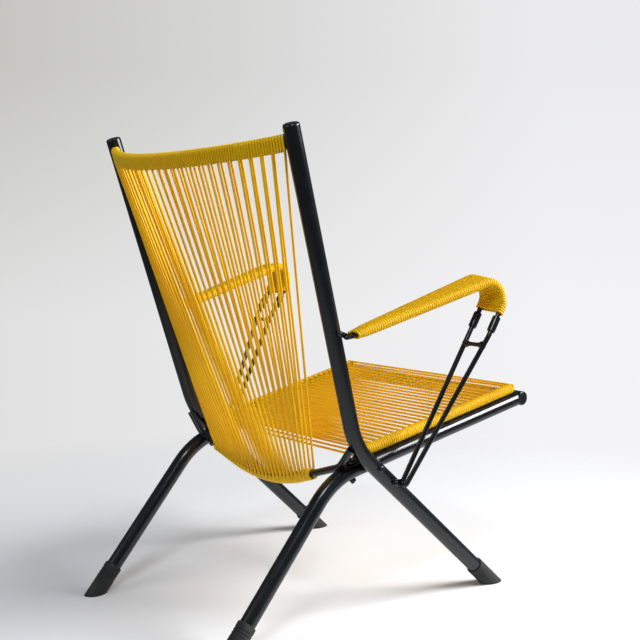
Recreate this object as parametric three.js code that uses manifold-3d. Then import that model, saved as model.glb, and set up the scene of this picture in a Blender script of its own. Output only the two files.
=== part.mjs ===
// A mid-century lounge chair: two bolted pairs of bent steel tubes carry a back and a seat
// strung with plastic cord, and two armrests of bent rod that the same cord is wound round.
// Millimetres, +Z up, the sitter looks along -Y, the floor is Z = 0, left and right are mirrored in X.

import * as THREE from 'three';
import { mergeVertices } from 'three/addons/utils/BufferGeometryUtils.js';
import Module from 'manifold-3d';

const wasm = await Module();
wasm.setup();

// Driving dimensions: stock sizes, and the gap that keeps touching pieces apart
const TUBE = 28.6;
const TUBE_WALL = 2;
const SEAT_ROD = 11.5;
const BACK_ROD = 13.5;
const ARM_ROD = 9;
const CORD = 4.8;
const FIT_GAP = 0.35;

// Driving dimensions: the side frames. Post and front leg are one tube, rail and rear leg another.
const BEND_HALF_WIDTH = 238.5;
const BEND_HEIGHT = 319;
const POST_RISE = 548;
const POST_LEAN = THREE.MathUtils.degToRad(17);
const POST_SPLAY = THREE.MathUtils.degToRad(2.63);
const FRONT_LEG_RAKE = THREE.MathUtils.degToRad(48.3);
const FRONT_LEG_SPLAY = THREE.MathUtils.degToRad(3.18);
const REAR_LEG_RAKE = THREE.MathUtils.degToRad(41.7);
const RAIL_PITCH = THREE.MathUtils.degToRad(10.48);
const RAIL_SPLAY = THREE.MathUtils.degToRad(2.9);
const CROSSING_DROP = 42.1;
const REAR_BEND_BEHIND_CROSSING = 74;
const CROSS_TUBE_AHEAD_OF_CROSSING = 416.7;
const POST_BEND_RADIUS = 150;
const RAIL_BEND_RADIUS = 150;

// Driving dimensions: the back
const TOP_RAIL_BELOW_POST_END = 23.5;
const TOP_RAIL_HEIGHT = 20;
const TOP_RAIL_THICKNESS = 7;
const TOP_RAIL_BOW_DEPTH = 90;
const LOWER_RAIL_WELD_DROP = 1;
const LOWER_RAIL_WELD_BEHIND = 11;
const LOWER_RAIL_LEAN = THREE.MathUtils.degToRad(5.4);
const LOWER_RAIL_KNEE_HALF_WIDTH = 206;
const LOWER_RAIL_KNEE_DROP = 37.4;
const LOWER_RAIL_KNEE_RADIUS = 40;
const LOWER_RAIL_VERTEX_DROP = 125.2;
const LOWER_RAIL_RADIUS = 319;
const LOWER_CORD_RIGHT_SPAN = 137;
const LOWER_CORD_LEFT_SPAN = 159;
const TOP_CORD_END_MARGIN = 5;
const BACK_PITCHES = 24;

// Driving dimensions: the seat
const SEAT_CORD_FRONT_MARGIN = 10;
const SEAT_CORD_REAR_MARGIN = 3;
const SEAT_ROD_FRONT_SETBACK = 15;
const SEAT_ROD_FRONT_BEND = 8;
const SEAT_ROD_REAR_BEND = 7;
const SEAT_ROD_REAR_KNEE = 6;
const SEAT_ROD_TAB_RUN = 11.5;
const RAIL_BOLT_AHEAD_OF_BEND = 44;
const RAIL_NUT_BEND_GAP = 0.9;
const SEAT_PITCHES = 24;

// Driving dimensions: the armrests, whose rods run forward to a nose and back down to the couplings
const ARM_PITCH = THREE.MathUtils.degToRad(15.5);
const ARM_REAR_RISE = 205;
const ARM_REAR_BEHIND = 44;
const ARM_REAR_SPREAD = 11;
const ARM_FRONT_HALF_WIDTH = 284.3;
const ARM_FRONT_SPREAD = 47.5;
const ARM_VERTEX_AHEAD = 333;
const ARM_OUTER_VERTEX_SETBACK = 6;
const ARM_OUTER_VERTEX_DROP = 5;
const ARM_NOSE_RADIUS = 31;
const ARM_FRONT_RAKE = THREE.MathUtils.degToRad(34.8);
const ARM_SCREW_RISE = 210.6;
const ARM_CORD_REAR_MARGIN = 3;
const ARM_CORD_COUPLING_MARGIN = 8;
const ARM_TURNS = 24;

// Driving dimensions: the couplings and the struts below them
const COUPLING_DIAMETER = 15;
const COUPLING_LENGTH = 30;
const INNER_COUPLING_RISE = 211.2;
const OUTER_COUPLING_RISE = 207;
const INNER_STRUT_BEND_RISE = 170.5;
const OUTER_STRUT_BEND_RISE = 186;
const STRUT_BRIDGE_RISE = 170;
const STRUT_BEND_RADIUS = 45;
const STRUT_SCREW_DROP = 68.4;
const STRUT_LOOP_AHEAD = 95.4;
const STRUT_LOOP_DROP = 71;
const STRUT_LOOP_SPREAD = 11.9;

// Driving dimensions: fittings
const CAP_DOME = 6;
const PLUG_DOME = 3;
const PLUG_LENGTH = 18;
const FOOT_DIAMETER = 34;
const FOOT_SLEEVE = 34;
const LEG_END_HEIGHT = 22;
const BOLT_SHANK = 6.4;
const BOLT_HEAD = 12.8;
const BOLT_HEAD_HEIGHT = 5;
const SCREW_SHANK = 5;
const SCREW_HEAD = 9;
const SCREW_HEAD_HEIGHT = 3;
const SCREW_LENGTH = 14;
const TAB_THICKNESS = 4;
const SEAT_TAB_WIDTH = 17;
const ARM_TAB_WIDTH = 13;
const ARM_ROD_LET_INTO_TAB = 1.4;
const STRUT_ROD_LET_INTO_TAB = 3;
const OVERRUN = 60;

// How many flat faces stand for a round one, and how far apart a cord's gap to itself is measured
const TUBE_SIDES = 16;
const NUT_SIDES = 6;
const ROD_SIDES = 8;
const CORD_SIDES = 5;
const FITTING_SIDES = 12;
const LOOP_STEPS = 6;
const TOP_RAIL_STEPS = 24;
const SAME_CORNER = 0.0001;
const BEND_SAG = 0.3;
const GAUGE_STEP = 3;

// Colours, roughness and metalness of the finishes
const standard = (color, roughness, metalness) => new THREE.MeshStandardMaterial({ color, roughness, metalness });
const blackEnamel = () => standard(0x1b1e22, 0.35, 0.2);
const blackPlastic = () => standard(0x15161a, 0.45, 0);
const blackRubber = () => new THREE.MeshStandardMaterial({ color: 0x1a1a1a, roughness: 0.8, metalness: 0 });
const darkSteel = () => new THREE.MeshStandardMaterial({ color: 0x3a3d42, roughness: 0.3, metalness: 0.9 });
const yellowCord = () => new THREE.MeshStandardMaterial({ color: 0xe0a712, roughness: 0.3, metalness: 0 });

const chair = new THREE.Group();
const SIDES = [
  { name: 'right', sign: -1 },
  { name: 'left', sign: 1 },
];
const vec = (x, y, z) => new THREE.Vector3(x, y, z);
const X_AXIS = vec(1, 0, 0);
const Y_AXIS = vec(0, 1, 0);

// A path through stations: a swept section stands on each one, so straight runs need no more than two.
class StationPath extends THREE.Curve {
  constructor(stations) {
    super();
    this.stations = stations;
  }

  getPoint(t, target = new THREE.Vector3()) {
    const last = this.stations.length - 1;
    const run = Math.min(Math.floor(t * last), last - 1);
    return target.lerpVectors(this.stations[run], this.stations[run + 1], t * last - run);
  }

  getPointAt(u, target) {
    return this.getPoint(u, target);
  }

  getTangentAt(u, target = new THREE.Vector3()) {
    const last = this.stations.length - 1;
    const at = Math.round(u * last);
    target.set(0, 0, 0);
    if (at > 0) target.add(this.stations[at].clone().sub(this.stations[at - 1]).normalize());
    if (at < last) target.add(this.stations[at + 1].clone().sub(this.stations[at]).normalize());
    return target.normalize();
  }
}

// The stations of a line through corners, each inner corner rounded to its own radius.
function bentLine(corners, radii) {
  const stations = [corners[0].clone()];
  for (let i = 1; i < corners.length - 1; i += 1) {
    const before = corners[i - 1].clone().sub(corners[i]).normalize();
    const after = corners[i + 1].clone().sub(corners[i]).normalize();
    const turn = Math.PI - before.angleTo(after);
    const setback = radii[i - 1] * Math.tan(turn / 2);
    const middle = before.clone().add(after).normalize();
    const centre = corners[i].clone().addScaledVector(middle, radii[i - 1] / Math.cos(turn / 2));
    const start = corners[i].clone().addScaledVector(before, setback).sub(centre);
    const steps = Math.max(1, Math.ceil(turn / (2 * Math.acos(1 - BEND_SAG / radii[i - 1]))));
    const stop = corners[i].clone().addScaledVector(after, setback).sub(centre);
    const axis = start.clone().cross(stop).normalize();
    for (let k = 0; k <= steps; k += 1) {
      stations.push(start.clone().applyAxisAngle(axis, (turn * k) / steps).add(centre));
    }
  }
  stations.push(corners.at(-1).clone());
  return stations;
}

function circlePoints(radius, sides) {
  return Array.from({ length: sides }, (_, i) => {
    const angle = (2 * Math.PI * (i + 0.5)) / sides;
    return new THREE.Vector2(radius * Math.cos(angle), radius * Math.sin(angle));
  });
}

// A round bar swept along stations, hollow where a bore is given.
function sweptBar(stations, radius, sides, bore = 0) {
  const section = new THREE.Shape(circlePoints(radius, sides));
  if (bore > 0) section.holes.push(new THREE.Path(circlePoints(bore, sides).reverse()));
  const path = new StationPath(stations);
  return new THREE.ExtrudeGeometry(section, { steps: stations.length - 1, extrudePath: path });
}

// One closed skin with shared corners and its faces pointing out.
function closedSkin(geometry) {
  const bare = geometry.clone();
  bare.deleteAttribute('normal');
  bare.deleteAttribute('uv');
  bare.clearGroups();
  const skin = mergeVertices(bare, SAME_CORNER);
  const corner = skin.getAttribute('position');
  const index = skin.getIndex().array;
  const [a, b, c] = [vec(0, 0, 0), vec(0, 0, 0), vec(0, 0, 0)];
  let volume = 0;
  for (let i = 0; i < index.length; i += 3) {
    a.fromBufferAttribute(corner, index[i]);
    b.fromBufferAttribute(corner, index[i + 1]);
    c.fromBufferAttribute(corner, index[i + 2]);
    volume += a.dot(b.cross(c));
  }
  if (volume < 0) {
    for (let i = 0; i < index.length; i += 3) [index[i], index[i + 1]] = [index[i + 1], index[i]];
  }
  return skin;
}

function toSolid(geometry) {
  const skin = closedSkin(geometry);
  const vertProperties = new Float32Array(skin.getAttribute('position').array);
  const triVerts = new Uint32Array(skin.getIndex().array);
  return new wasm.Manifold(new wasm.Mesh({ numProp: 3, vertProperties, triVerts }));
}

function toGeometry(solid) {
  const mesh = solid.getMesh();
  const geometry = new THREE.BufferGeometry();
  geometry.setAttribute('position', new THREE.BufferAttribute(new Float32Array(mesh.vertProperties), 3));
  geometry.setIndex(new THREE.BufferAttribute(new Uint32Array(mesh.triVerts), 1));
  return geometry;
}

function cutBy(geometry, ...cutters) {
  return toGeometry(cutters.reduce((solid, cutter) => solid.subtract(toSolid(cutter)), toSolid(geometry)));
}

function joined(...pieces) {
  return toGeometry(pieces.map(toSolid).reduce((whole, piece) => whole.add(piece)));
}

// A revolved fitting: its profile is drawn as radius and height, and its height runs from foot along axis.
function turned(profile, foot, axis, sides = FITTING_SIDES) {
  const geometry = new THREE.LatheGeometry(profile.map(([r, h]) => new THREE.Vector2(r, h)), sides);
  geometry.applyQuaternion(new THREE.Quaternion().setFromUnitVectors(Y_AXIS, axis.clone().normalize()));
  return geometry.translate(foot.x, foot.y, foot.z);
}

function roundBar(from, to, radius, sides = FITTING_SIDES) {
  const axis = to.clone().sub(from);
  return turned([[0, 0], [radius, 0], [radius, axis.length()], [0, axis.length()]], from, axis, sides);
}

function piece(name, geometry, material) {
  const mesh = new THREE.Mesh(closedSkin(geometry), material);
  mesh.name = name;
  chair.add(mesh);
  return mesh;
}

// Places on the side frames. Every point is for one side, whose sign is -1 on the sitter's right.
const tubeRadius = TUBE / 2;
const boreRadius = tubeRadius - TUBE_WALL;
const clearRadius = tubeRadius + FIT_GAP;
// The radius of the corners of a bore whose flats lie at the radius given
const around = (radius, sides) => radius / Math.cos(Math.PI / sides);
const seatRodRadius = SEAT_ROD / 2;
const backRodRadius = BACK_ROD / 2;
const armRodRadius = ARM_ROD / 2;
const cordRadius = CORD / 2;
const boltHole = around(BOLT_SHANK / 2 + FIT_GAP, FITTING_SIDES);
const screwHole = around(SCREW_SHANK / 2 + FIT_GAP, FITTING_SIDES);

function postAxis(sign, height) {
  const rise = height - BEND_HEIGHT;
  return vec(sign * (BEND_HALF_WIDTH + rise * Math.tan(POST_SPLAY)), rise * Math.tan(POST_LEAN), height);
}

function frontLegAxis(sign, height) {
  const drop = BEND_HEIGHT - height;
  const halfWidth = BEND_HALF_WIDTH + drop * Math.tan(FRONT_LEG_SPLAY);
  return vec(sign * halfWidth, -drop * Math.tan(FRONT_LEG_RAKE), height);
}

// The rail crosses the front leg one tube further in, where the frame bolt joins the two.
const crossing = (sign) => frontLegAxis(sign, BEND_HEIGHT - CROSSING_DROP);
const crossingY = crossing(1).y;
const crossingHeight = crossing(1).z;
const railHalfWidth = crossing(1).x - tubeRadius - clearRadius;
const railSlope = vec(0, -Math.cos(RAIL_PITCH), Math.sin(RAIL_PITCH));
const railNormal = vec(0, Math.sin(RAIL_PITCH), Math.cos(RAIL_PITCH));

function railAxis(sign, y, lift = 0) {
  const ahead = crossingY - y;
  const halfWidth = railHalfWidth + ahead * Math.tan(RAIL_SPLAY);
  const centre = vec(sign * halfWidth, y, crossingHeight + ahead * Math.tan(RAIL_PITCH));
  return centre.addScaledVector(railNormal, lift);
}

const rearBendY = crossingY + REAR_BEND_BEHIND_CROSSING;
const crossTubeY = crossingY - CROSS_TUBE_AHEAD_OF_CROSSING;

function rearLegAxis(sign, height) {
  const bend = railAxis(sign, rearBendY);
  return vec(bend.x, bend.y + (bend.z - height) * Math.tan(REAR_LEG_RAKE), height);
}

const postEnd = (sign) => postAxis(sign, BEND_HEIGHT + POST_RISE);
const postLine = (sign) => bentLine(
  [postEnd(sign), postAxis(sign, BEND_HEIGHT), frontLegAxis(sign, LEG_END_HEIGHT)],
  [POST_BEND_RADIUS],
);
const railLine = (sign) => bentLine(
  [railAxis(sign, crossTubeY), railAxis(sign, rearBendY), rearLegAxis(sign, LEG_END_HEIGHT)],
  [RAIL_BEND_RADIUS],
);
const crossTubeEnd = (sign) => {
  const rail = railAxis(sign, crossTubeY);
  return vec(rail.x + sign * (tubeRadius - PLUG_DOME), rail.y, rail.z);
};
const crossTubeLine = [crossTubeEnd(-1), crossTubeEnd(1)];

// Where each bolt or screw stands, as a point on the tube's axis and the way its head faces
const outwardFrom = (sign, along) => {
  const out = vec(sign, 0, 0);
  return out.addScaledVector(along, -out.dot(along)).normalize();
};
const postWay = (sign) => postEnd(sign).sub(postAxis(sign, BEND_HEIGHT)).normalize();
const frontLegWay = (sign) => frontLegAxis(sign, 0).sub(frontLegAxis(sign, BEND_HEIGHT)).normalize();
const frameBolt = (sign) => ({ at: crossing(sign), out: outwardFrom(sign, frontLegWay(sign)) });
const railBolt = (sign) => ({
  at: railAxis(sign, rearBendY - RAIL_BOLT_AHEAD_OF_BEND),
  out: railNormal.clone(),
});
const armScrew = (sign) => ({
  at: postAxis(sign, BEND_HEIGHT + ARM_SCREW_RISE),
  out: outwardFrom(sign, postWay(sign)),
});
const strutScrew = (sign) => ({
  at: frontLegAxis(sign, BEND_HEIGHT - STRUT_SCREW_DROP),
  out: outwardFrom(sign, frontLegWay(sign)),
});
const along = (place, reach) => place.at.clone().addScaledVector(place.out, reach);
const drill = (place, from, to, radius) => roundBar(along(place, from), along(place, to), radius);
const throughTwo = TUBE + tubeRadius + OVERRUN;

// The flat bar across the top of the back, bowed rearward in the plane square to the posts
const topRailHeight = BEND_HEIGHT + POST_RISE - TOP_RAIL_BELOW_POST_END;
const topRailEnd = postAxis(1, topRailHeight);
const topRailRadius = (topRailEnd.x ** 2 + TOP_RAIL_BOW_DEPTH ** 2) / (2 * TOP_RAIL_BOW_DEPTH);
const topRailUp = vec(0, Math.sin(POST_LEAN), Math.cos(POST_LEAN));
const topRailBack = vec(0, Math.cos(POST_LEAN), -Math.sin(POST_LEAN));
const topRailHalfAngle = Math.asin(topRailEnd.x / topRailRadius);
const topRailCentre = vec(0, topRailEnd.y, topRailEnd.z)
  .addScaledVector(topRailBack, TOP_RAIL_BOW_DEPTH - topRailRadius);

// A place beside the top rail: an angle along its arc, then how far behind it and above its middle.
function byTopRail(angle, behind, above) {
  const reach = topRailRadius + behind;
  return topRailCentre.clone()
    .addScaledVector(X_AXIS, reach * Math.sin(angle))
    .addScaledVector(topRailBack, reach * Math.cos(angle))
    .addScaledVector(topRailUp, above);
}

function topRailBand() {
  const angles = Array.from({ length: TOP_RAIL_STEPS + 1 }, (_, i) => (
    topRailHalfAngle * ((2 * i) / TOP_RAIL_STEPS - 1)
  ));
  const half = TOP_RAIL_THICKNESS / 2;
  const arc = (radius, list) => list.map((angle) => (
    new THREE.Vector2(radius * Math.sin(angle), radius * Math.cos(angle))
  ));
  const outer = arc(topRailRadius + half, angles);
  const inner = arc(topRailRadius - half, [...angles].reverse());
  const outline = new THREE.Shape([...outer, ...inner]);
  const band = new THREE.ExtrudeGeometry(outline, { depth: TOP_RAIL_HEIGHT, bevelEnabled: false });
  const turn = new THREE.Matrix4().makeBasis(X_AXIS, topRailBack, topRailUp.clone());
  const foot = topRailCentre.clone().addScaledVector(topRailUp, -TOP_RAIL_HEIGHT / 2);
  return band.applyMatrix4(turn.setPosition(foot));
}

// The round bar across the bottom of the back: a sagging arc, straight flanks and a knee up to each weld
const lowerWeld = postAxis(1, BEND_HEIGHT - LOWER_RAIL_WELD_DROP).add(vec(0, LOWER_RAIL_WELD_BEHIND, 0));
const lowerDown = vec(0, -Math.sin(LOWER_RAIL_LEAN), -Math.cos(LOWER_RAIL_LEAN));
const lowerBack = vec(0, Math.cos(LOWER_RAIL_LEAN), -Math.sin(LOWER_RAIL_LEAN));
const lowerPlace = (x, drop) => vec(x, lowerWeld.y, lowerWeld.z).addScaledVector(lowerDown, drop);
const lowerSlope = Math.atan2(LOWER_RAIL_VERTEX_DROP - LOWER_RAIL_KNEE_DROP, LOWER_RAIL_KNEE_HALF_WIDTH);
const lowerCentreDrop = LOWER_RAIL_VERTEX_DROP - LOWER_RAIL_RADIUS / Math.cos(lowerSlope);
const lowerRailLine = bentLine(
  [
    lowerPlace(-lowerWeld.x, 0),
    lowerPlace(-LOWER_RAIL_KNEE_HALF_WIDTH, LOWER_RAIL_KNEE_DROP),
    lowerPlace(0, LOWER_RAIL_VERTEX_DROP),
    lowerPlace(LOWER_RAIL_KNEE_HALF_WIDTH, LOWER_RAIL_KNEE_DROP),
    lowerPlace(lowerWeld.x, 0),
  ],
  [LOWER_RAIL_KNEE_RADIUS, LOWER_RAIL_RADIUS, LOWER_RAIL_KNEE_RADIUS],
);

// A place beside the lower rail: a distance along it from its middle, then how far behind it and below it.
function byLowerRail(reach, behind, below) {
  const angle = THREE.MathUtils.clamp(reach / LOWER_RAIL_RADIUS, -lowerSlope, lowerSlope);
  const straight = reach - angle * LOWER_RAIL_RADIUS;
  const x = (LOWER_RAIL_RADIUS + below) * Math.sin(angle) + straight * Math.cos(angle);
  const drop = lowerCentreDrop + (LOWER_RAIL_RADIUS + below) * Math.cos(angle) - straight * Math.sin(angle);
  return lowerPlace(x, drop).addScaledVector(lowerBack, behind);
}

// Cords. A turn round a bar has corners at these angles, so that its flats clear the bar by the fit gap.
const HALF_SHARE = 0.5;
const QUARTER_SHARE = 0.25;
const TURN_ANGLES = [-67.5, -22.5, 22.5, 67.5].map((angle) => THREE.MathUtils.degToRad(angle));
const turnRadius = (barRadius) => (barRadius + cordRadius + FIT_GAP) / Math.sin(TURN_ANGLES[3]);

// The least distance between two stretches of one cord further apart along it than a turn round a bar
function leastGap(stations, barRadius) {
  const points = [];
  let travelled = 0;
  for (let i = 1; i < stations.length; i += 1) {
    const length = stations[i].distanceTo(stations[i - 1]);
    const steps = Math.ceil(length / GAUGE_STEP);
    for (let k = 0; k < steps; k += 1) {
      const at = stations[i - 1].clone().lerp(stations[i], k / steps);
      points.push({ at, travelled: travelled + (length * k) / steps });
    }
    travelled += length;
  }
  const apart = Math.PI * (barRadius + CORD);
  let least = Infinity;
  for (let i = 0; i < points.length; i += 1) {
    for (let k = i + 1; k < points.length; k += 1) {
      if (points[k].travelled - points[i].travelled < apart) continue;
      least = Math.min(least, points[i].at.distanceTo(points[k].at));
    }
  }
  return { gap: least - CORD, length: travelled };
}

function cordTube(name, stations, barRadius) {
  const { gap, length } = leastGap(stations, barRadius);
  console.log(`${name}: least gap to itself ${gap.toFixed(2)} mm, length ${(length / 1000).toFixed(2)} m`);
  return sweptBar(stations, cordRadius, CORD_SIDES);
}

// How far the strands lean back from the lower rail's own plane at a place along it
function backLean(reach, topAngle) {
  const foot = byLowerRail(reach, 0, 0);
  const away = byLowerRail(reach, 0, 1).sub(foot);
  const strand = byTopRail(topAngle, 0, 0).sub(foot);
  return Math.atan2(strand.dot(lowerBack), -strand.dot(away));
}

// The back cord goes up in front, over the top rail, down behind and under the lower rail, again and again.
function backCordLine() {
  const cordBehind = TOP_RAIL_THICKNESS / 2 + cordRadius + FIT_GAP;
  const cordAbove = TOP_RAIL_HEIGHT / 2 + cordRadius + FIT_GAP;
  const topMargin = (tubeRadius + TOP_CORD_END_MARGIN) / topRailRadius;
  const topHalf = topRailHalfAngle - topMargin;
  const wrap = turnRadius(backRodRadius);
  const lowerHalf = (LOWER_CORD_LEFT_SPAN + LOWER_CORD_RIGHT_SPAN) / 2;
  const stations = [];
  for (let i = 0; i < BACK_PITCHES; i += 1) {
    const share = (k) => (2 * (i + k)) / (BACK_PITCHES - HALF_SHARE) - 1;
    TURN_ANGLES.forEach((angle, k) => {
      const late = (HALF_SHARE * k) / TURN_ANGLES.length - QUARTER_SHARE;
      const reach = LOWER_CORD_LEFT_SPAN - lowerHalf + lowerHalf * share(late);
      const leaning = angle + backLean(reach, topHalf * share(0));
      stations.push(byLowerRail(reach, -wrap * Math.sin(leaning), wrap * Math.cos(leaning)));
    });
    const front = topHalf * share(0);
    const rear = topHalf * share(HALF_SHARE);
    stations.push(byTopRail(front, -cordBehind, -TOP_RAIL_HEIGHT / 2));
    stations.push(byTopRail(front, -cordBehind, cordAbove));
    stations.push(byTopRail(rear, cordBehind, cordAbove));
    stations.push(byTopRail(rear, cordBehind, -TOP_RAIL_HEIGHT / 2));
  }
  return stations;
}

// The seat rods stand above the rails, one cord away from them, and turn down to the rail at both ends.
const seatLift = clearRadius + CORD + FIT_GAP + seatRodRadius;
const tabMiddle = clearRadius + TAB_THICKNESS / 2;
const railBoltY = rearBendY - RAIL_BOLT_AHEAD_OF_BEND;
const seatRodFrontY = crossTubeY + SEAT_ROD_FRONT_SETBACK;
const seatRodKneeY = railBoltY - SEAT_ROD_TAB_RUN - SEAT_ROD_REAR_KNEE;
const seatRodLine = (sign) => bentLine(
  [
    railAxis(sign, seatRodFrontY, tubeRadius / 2),
    railAxis(sign, seatRodFrontY, seatLift),
    railAxis(sign, seatRodKneeY, seatLift),
    railAxis(sign, railBoltY - SEAT_ROD_TAB_RUN, tabMiddle),
  ],
  [SEAT_ROD_FRONT_BEND, SEAT_ROD_REAR_BEND],
);

// The seat cord crosses above, turns down round one rod, crosses back below and turns up round the other.
function seatCordLine() {
  const wrap = turnRadius(seatRodRadius);
  const frontY = seatRodFrontY + SEAT_CORD_FRONT_MARGIN;
  const rearY = seatRodKneeY - SEAT_CORD_REAR_MARGIN;
  const stations = [];
  for (let i = 0; i < SEAT_PITCHES; i += 1) {
    for (const { sign, half } of [{ sign: -1, half: 0 }, { sign: 1, half: HALF_SHARE }]) {
      TURN_ANGLES.forEach((angle, k) => {
        const late = (QUARTER_SHARE * k) / TURN_ANGLES.length;
        const share = (i + half + late) / (SEAT_PITCHES - QUARTER_SHARE);
        const rod = railAxis(sign, frontY + (rearY - frontY) * share, seatLift);
        rod.addScaledVector(X_AXIS, sign * wrap * Math.cos(angle));
        stations.push(rod.addScaledVector(railNormal, -sign * wrap * Math.sin(angle)));
      });
    }
  }
  return stations;
}

// The armrest rods, from their closed rear loop forward to the nose and down into the couplings
const armWay = vec(0, -Math.cos(ARM_PITCH), Math.sin(ARM_PITCH));
const armFrontWay = vec(0, Math.sin(ARM_FRONT_RAKE), -Math.cos(ARM_FRONT_RAKE));
const armHeight = (y) => BEND_HEIGHT + ARM_REAR_RISE + (ARM_REAR_BEHIND - y) * Math.tan(ARM_PITCH);
const onTabOutside = (axis, letIn) => axis.x + clearRadius + TAB_THICKNESS + armRodRadius - letIn;
const armRearHalf = onTabOutside(armScrew(1).at, ARM_ROD_LET_INTO_TAB);
const strutLoopHalf = onTabOutside(strutScrew(1).at, STRUT_ROD_LET_INTO_TAB);
const armRods = {
  inner: {
    rear: armRearHalf,
    front: ARM_FRONT_HALF_WIDTH,
    ahead: ARM_VERTEX_AHEAD,
    drop: 0,
    coupling: BEND_HEIGHT + INNER_COUPLING_RISE,
    strutBend: BEND_HEIGHT + INNER_STRUT_BEND_RISE,
    loop: strutLoopHalf,
  },
  outer: {
    rear: armRearHalf + ARM_REAR_SPREAD,
    front: ARM_FRONT_HALF_WIDTH + ARM_FRONT_SPREAD,
    ahead: ARM_VERTEX_AHEAD - ARM_OUTER_VERTEX_SETBACK,
    drop: ARM_OUTER_VERTEX_DROP,
    coupling: BEND_HEIGHT + OUTER_COUPLING_RISE,
    strutBend: BEND_HEIGHT + OUTER_STRUT_BEND_RISE,
    loop: strutLoopHalf + STRUT_LOOP_SPREAD,
  },
};
const armRear = (sign, rod) => vec(sign * rod.rear, ARM_REAR_BEHIND, armHeight(ARM_REAR_BEHIND));
const armVertex = (sign, rod) => vec(sign * rod.front, -rod.ahead, armHeight(-rod.ahead) - rod.drop);

function armFrontPoint(sign, rod, height) {
  const vertex = armVertex(sign, rod);
  return vertex.addScaledVector(armFrontWay, (height - vertex.z) / armFrontWay.z);
}

const couplingCentre = (sign, rod) => armFrontPoint(sign, rod, rod.coupling);
const strutBend = (sign, rod) => armFrontPoint(sign, rod, rod.strutBend);

// Half a circle that joins two parallel rods beyond their ends
function endLoop(from, to, beyond) {
  const centre = from.clone().lerp(to, HALF_SHARE);
  const reach = from.distanceTo(to) / 2;
  const side = from.clone().sub(centre).normalize();
  return Array.from({ length: LOOP_STEPS + 1 }, (_, i) => {
    const angle = (Math.PI * i) / LOOP_STEPS;
    return centre.clone()
      .addScaledVector(side, reach * Math.cos(angle))
      .addScaledVector(beyond, reach * Math.sin(angle));
  });
}

const armLeg = (sign, rod) => bentLine(
  [
    couplingCentre(sign, rod).addScaledVector(armFrontWay, -FIT_GAP),
    armVertex(sign, rod),
    armRear(sign, rod),
  ],
  [ARM_NOSE_RADIUS],
);

function armHoopLine(sign) {
  const loop = endLoop(armRear(sign, armRods.inner), armRear(sign, armRods.outer), armWay.clone().negate());
  const inner = armLeg(sign, armRods.inner);
  const outer = armLeg(sign, armRods.outer).reverse();
  return [...inner.slice(0, -1), ...loop, ...outer.slice(1)];
}

const strutLoopPoint = (sign, rod) => vec(sign * rod.loop, -STRUT_LOOP_AHEAD, BEND_HEIGHT - STRUT_LOOP_DROP);
const bridgeEnd = (sign, rod) => {
  const bend = strutBend(sign, rod);
  const loop = strutLoopPoint(sign, rod);
  return bend.lerp(loop, (bend.z - BEND_HEIGHT - STRUT_BRIDGE_RISE) / (bend.z - loop.z));
};
const strutLeg = (sign, rod) => bentLine(
  [
    couplingCentre(sign, rod).addScaledVector(armFrontWay, FIT_GAP),
    strutBend(sign, rod),
    strutLoopPoint(sign, rod),
  ],
  [STRUT_BEND_RADIUS],
);

function strutLine(sign) {
  const { inner, outer } = armRods;
  const way = strutLoopPoint(sign, inner).sub(strutBend(sign, inner));
  const loop = endLoop(strutLoopPoint(sign, inner), strutLoopPoint(sign, outer), way.setX(0).normalize());
  return [...strutLeg(sign, inner).slice(0, -1), ...loop, ...strutLeg(sign, outer).reverse().slice(1)];
}

// The arm cord turns round both rods from the rear loop over the nose to just above the couplings.
function armCordLine(sign) {
  const wrap = turnRadius(armRodRadius);
  const trimmed = (rod) => {
    const line = armLeg(sign, rod).reverse();
    return { line, length: line.reduce((sum, at, i) => (i ? sum + at.distanceTo(line[i - 1]) : 0), 0) };
  };
  const inner = trimmed(armRods.inner);
  const outer = trimmed(armRods.outer);
  const walk = ({ line, length }, share) => {
    const start = ARM_CORD_REAR_MARGIN;
    const stop = length - COUPLING_LENGTH / 2 - ARM_CORD_COUPLING_MARGIN;
    let left = start + (stop - start) * share;
    for (let i = 1; i < line.length; i += 1) {
      const run = line[i].distanceTo(line[i - 1]);
      if (left <= run || i === line.length - 1) {
        const way = line[i].clone().sub(line[i - 1]).normalize();
        return { at: line[i - 1].clone().addScaledVector(way, left), way };
      }
      left -= run;
    }
    return null;
  };
  const stations = [];
  for (let i = 0; i < ARM_TURNS; i += 1) {
    for (const { rod, facing, half } of [
      { rod: inner, facing: -sign, half: 0 },
      { rod: outer, facing: sign, half: HALF_SHARE },
    ]) {
      TURN_ANGLES.forEach((angle, k) => {
        const late = (QUARTER_SHARE * k) / TURN_ANGLES.length;
        const { at, way } = walk(rod, (i + half + late) / (ARM_TURNS - QUARTER_SHARE));
        const up = way.clone().cross(X_AXIS).normalize();
        at.addScaledVector(X_AXIS, facing * wrap * Math.cos(angle));
        stations.push(at.addScaledVector(up, (half ? -1 : 1) * wrap * Math.sin(angle)));
      });
    }
  }
  return stations;
}

// A flat tab with round ends that lies between two points, its underside a lift along the normal
function tabPlate(from, to, width, lift, normal) {
  const run = to.clone().sub(from).projectOnPlane(normal);
  const reach = run.length();
  const half = width / 2;
  const outline = new THREE.Shape();
  outline.absarc(reach, 0, half, -Math.PI / 2, Math.PI / 2, false);
  outline.absarc(0, 0, half, Math.PI / 2, (3 * Math.PI) / 2, false);
  const plate = new THREE.ExtrudeGeometry(outline, {
    depth: TAB_THICKNESS,
    bevelEnabled: false,
    curveSegments: FITTING_SIDES / 2,
  });
  const across = normal.clone().cross(run).normalize();
  const turn = new THREE.Matrix4().makeBasis(run.normalize(), across, normal);
  return plate.applyMatrix4(turn.setPosition(from.clone().addScaledVector(normal, lift)));
}

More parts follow.
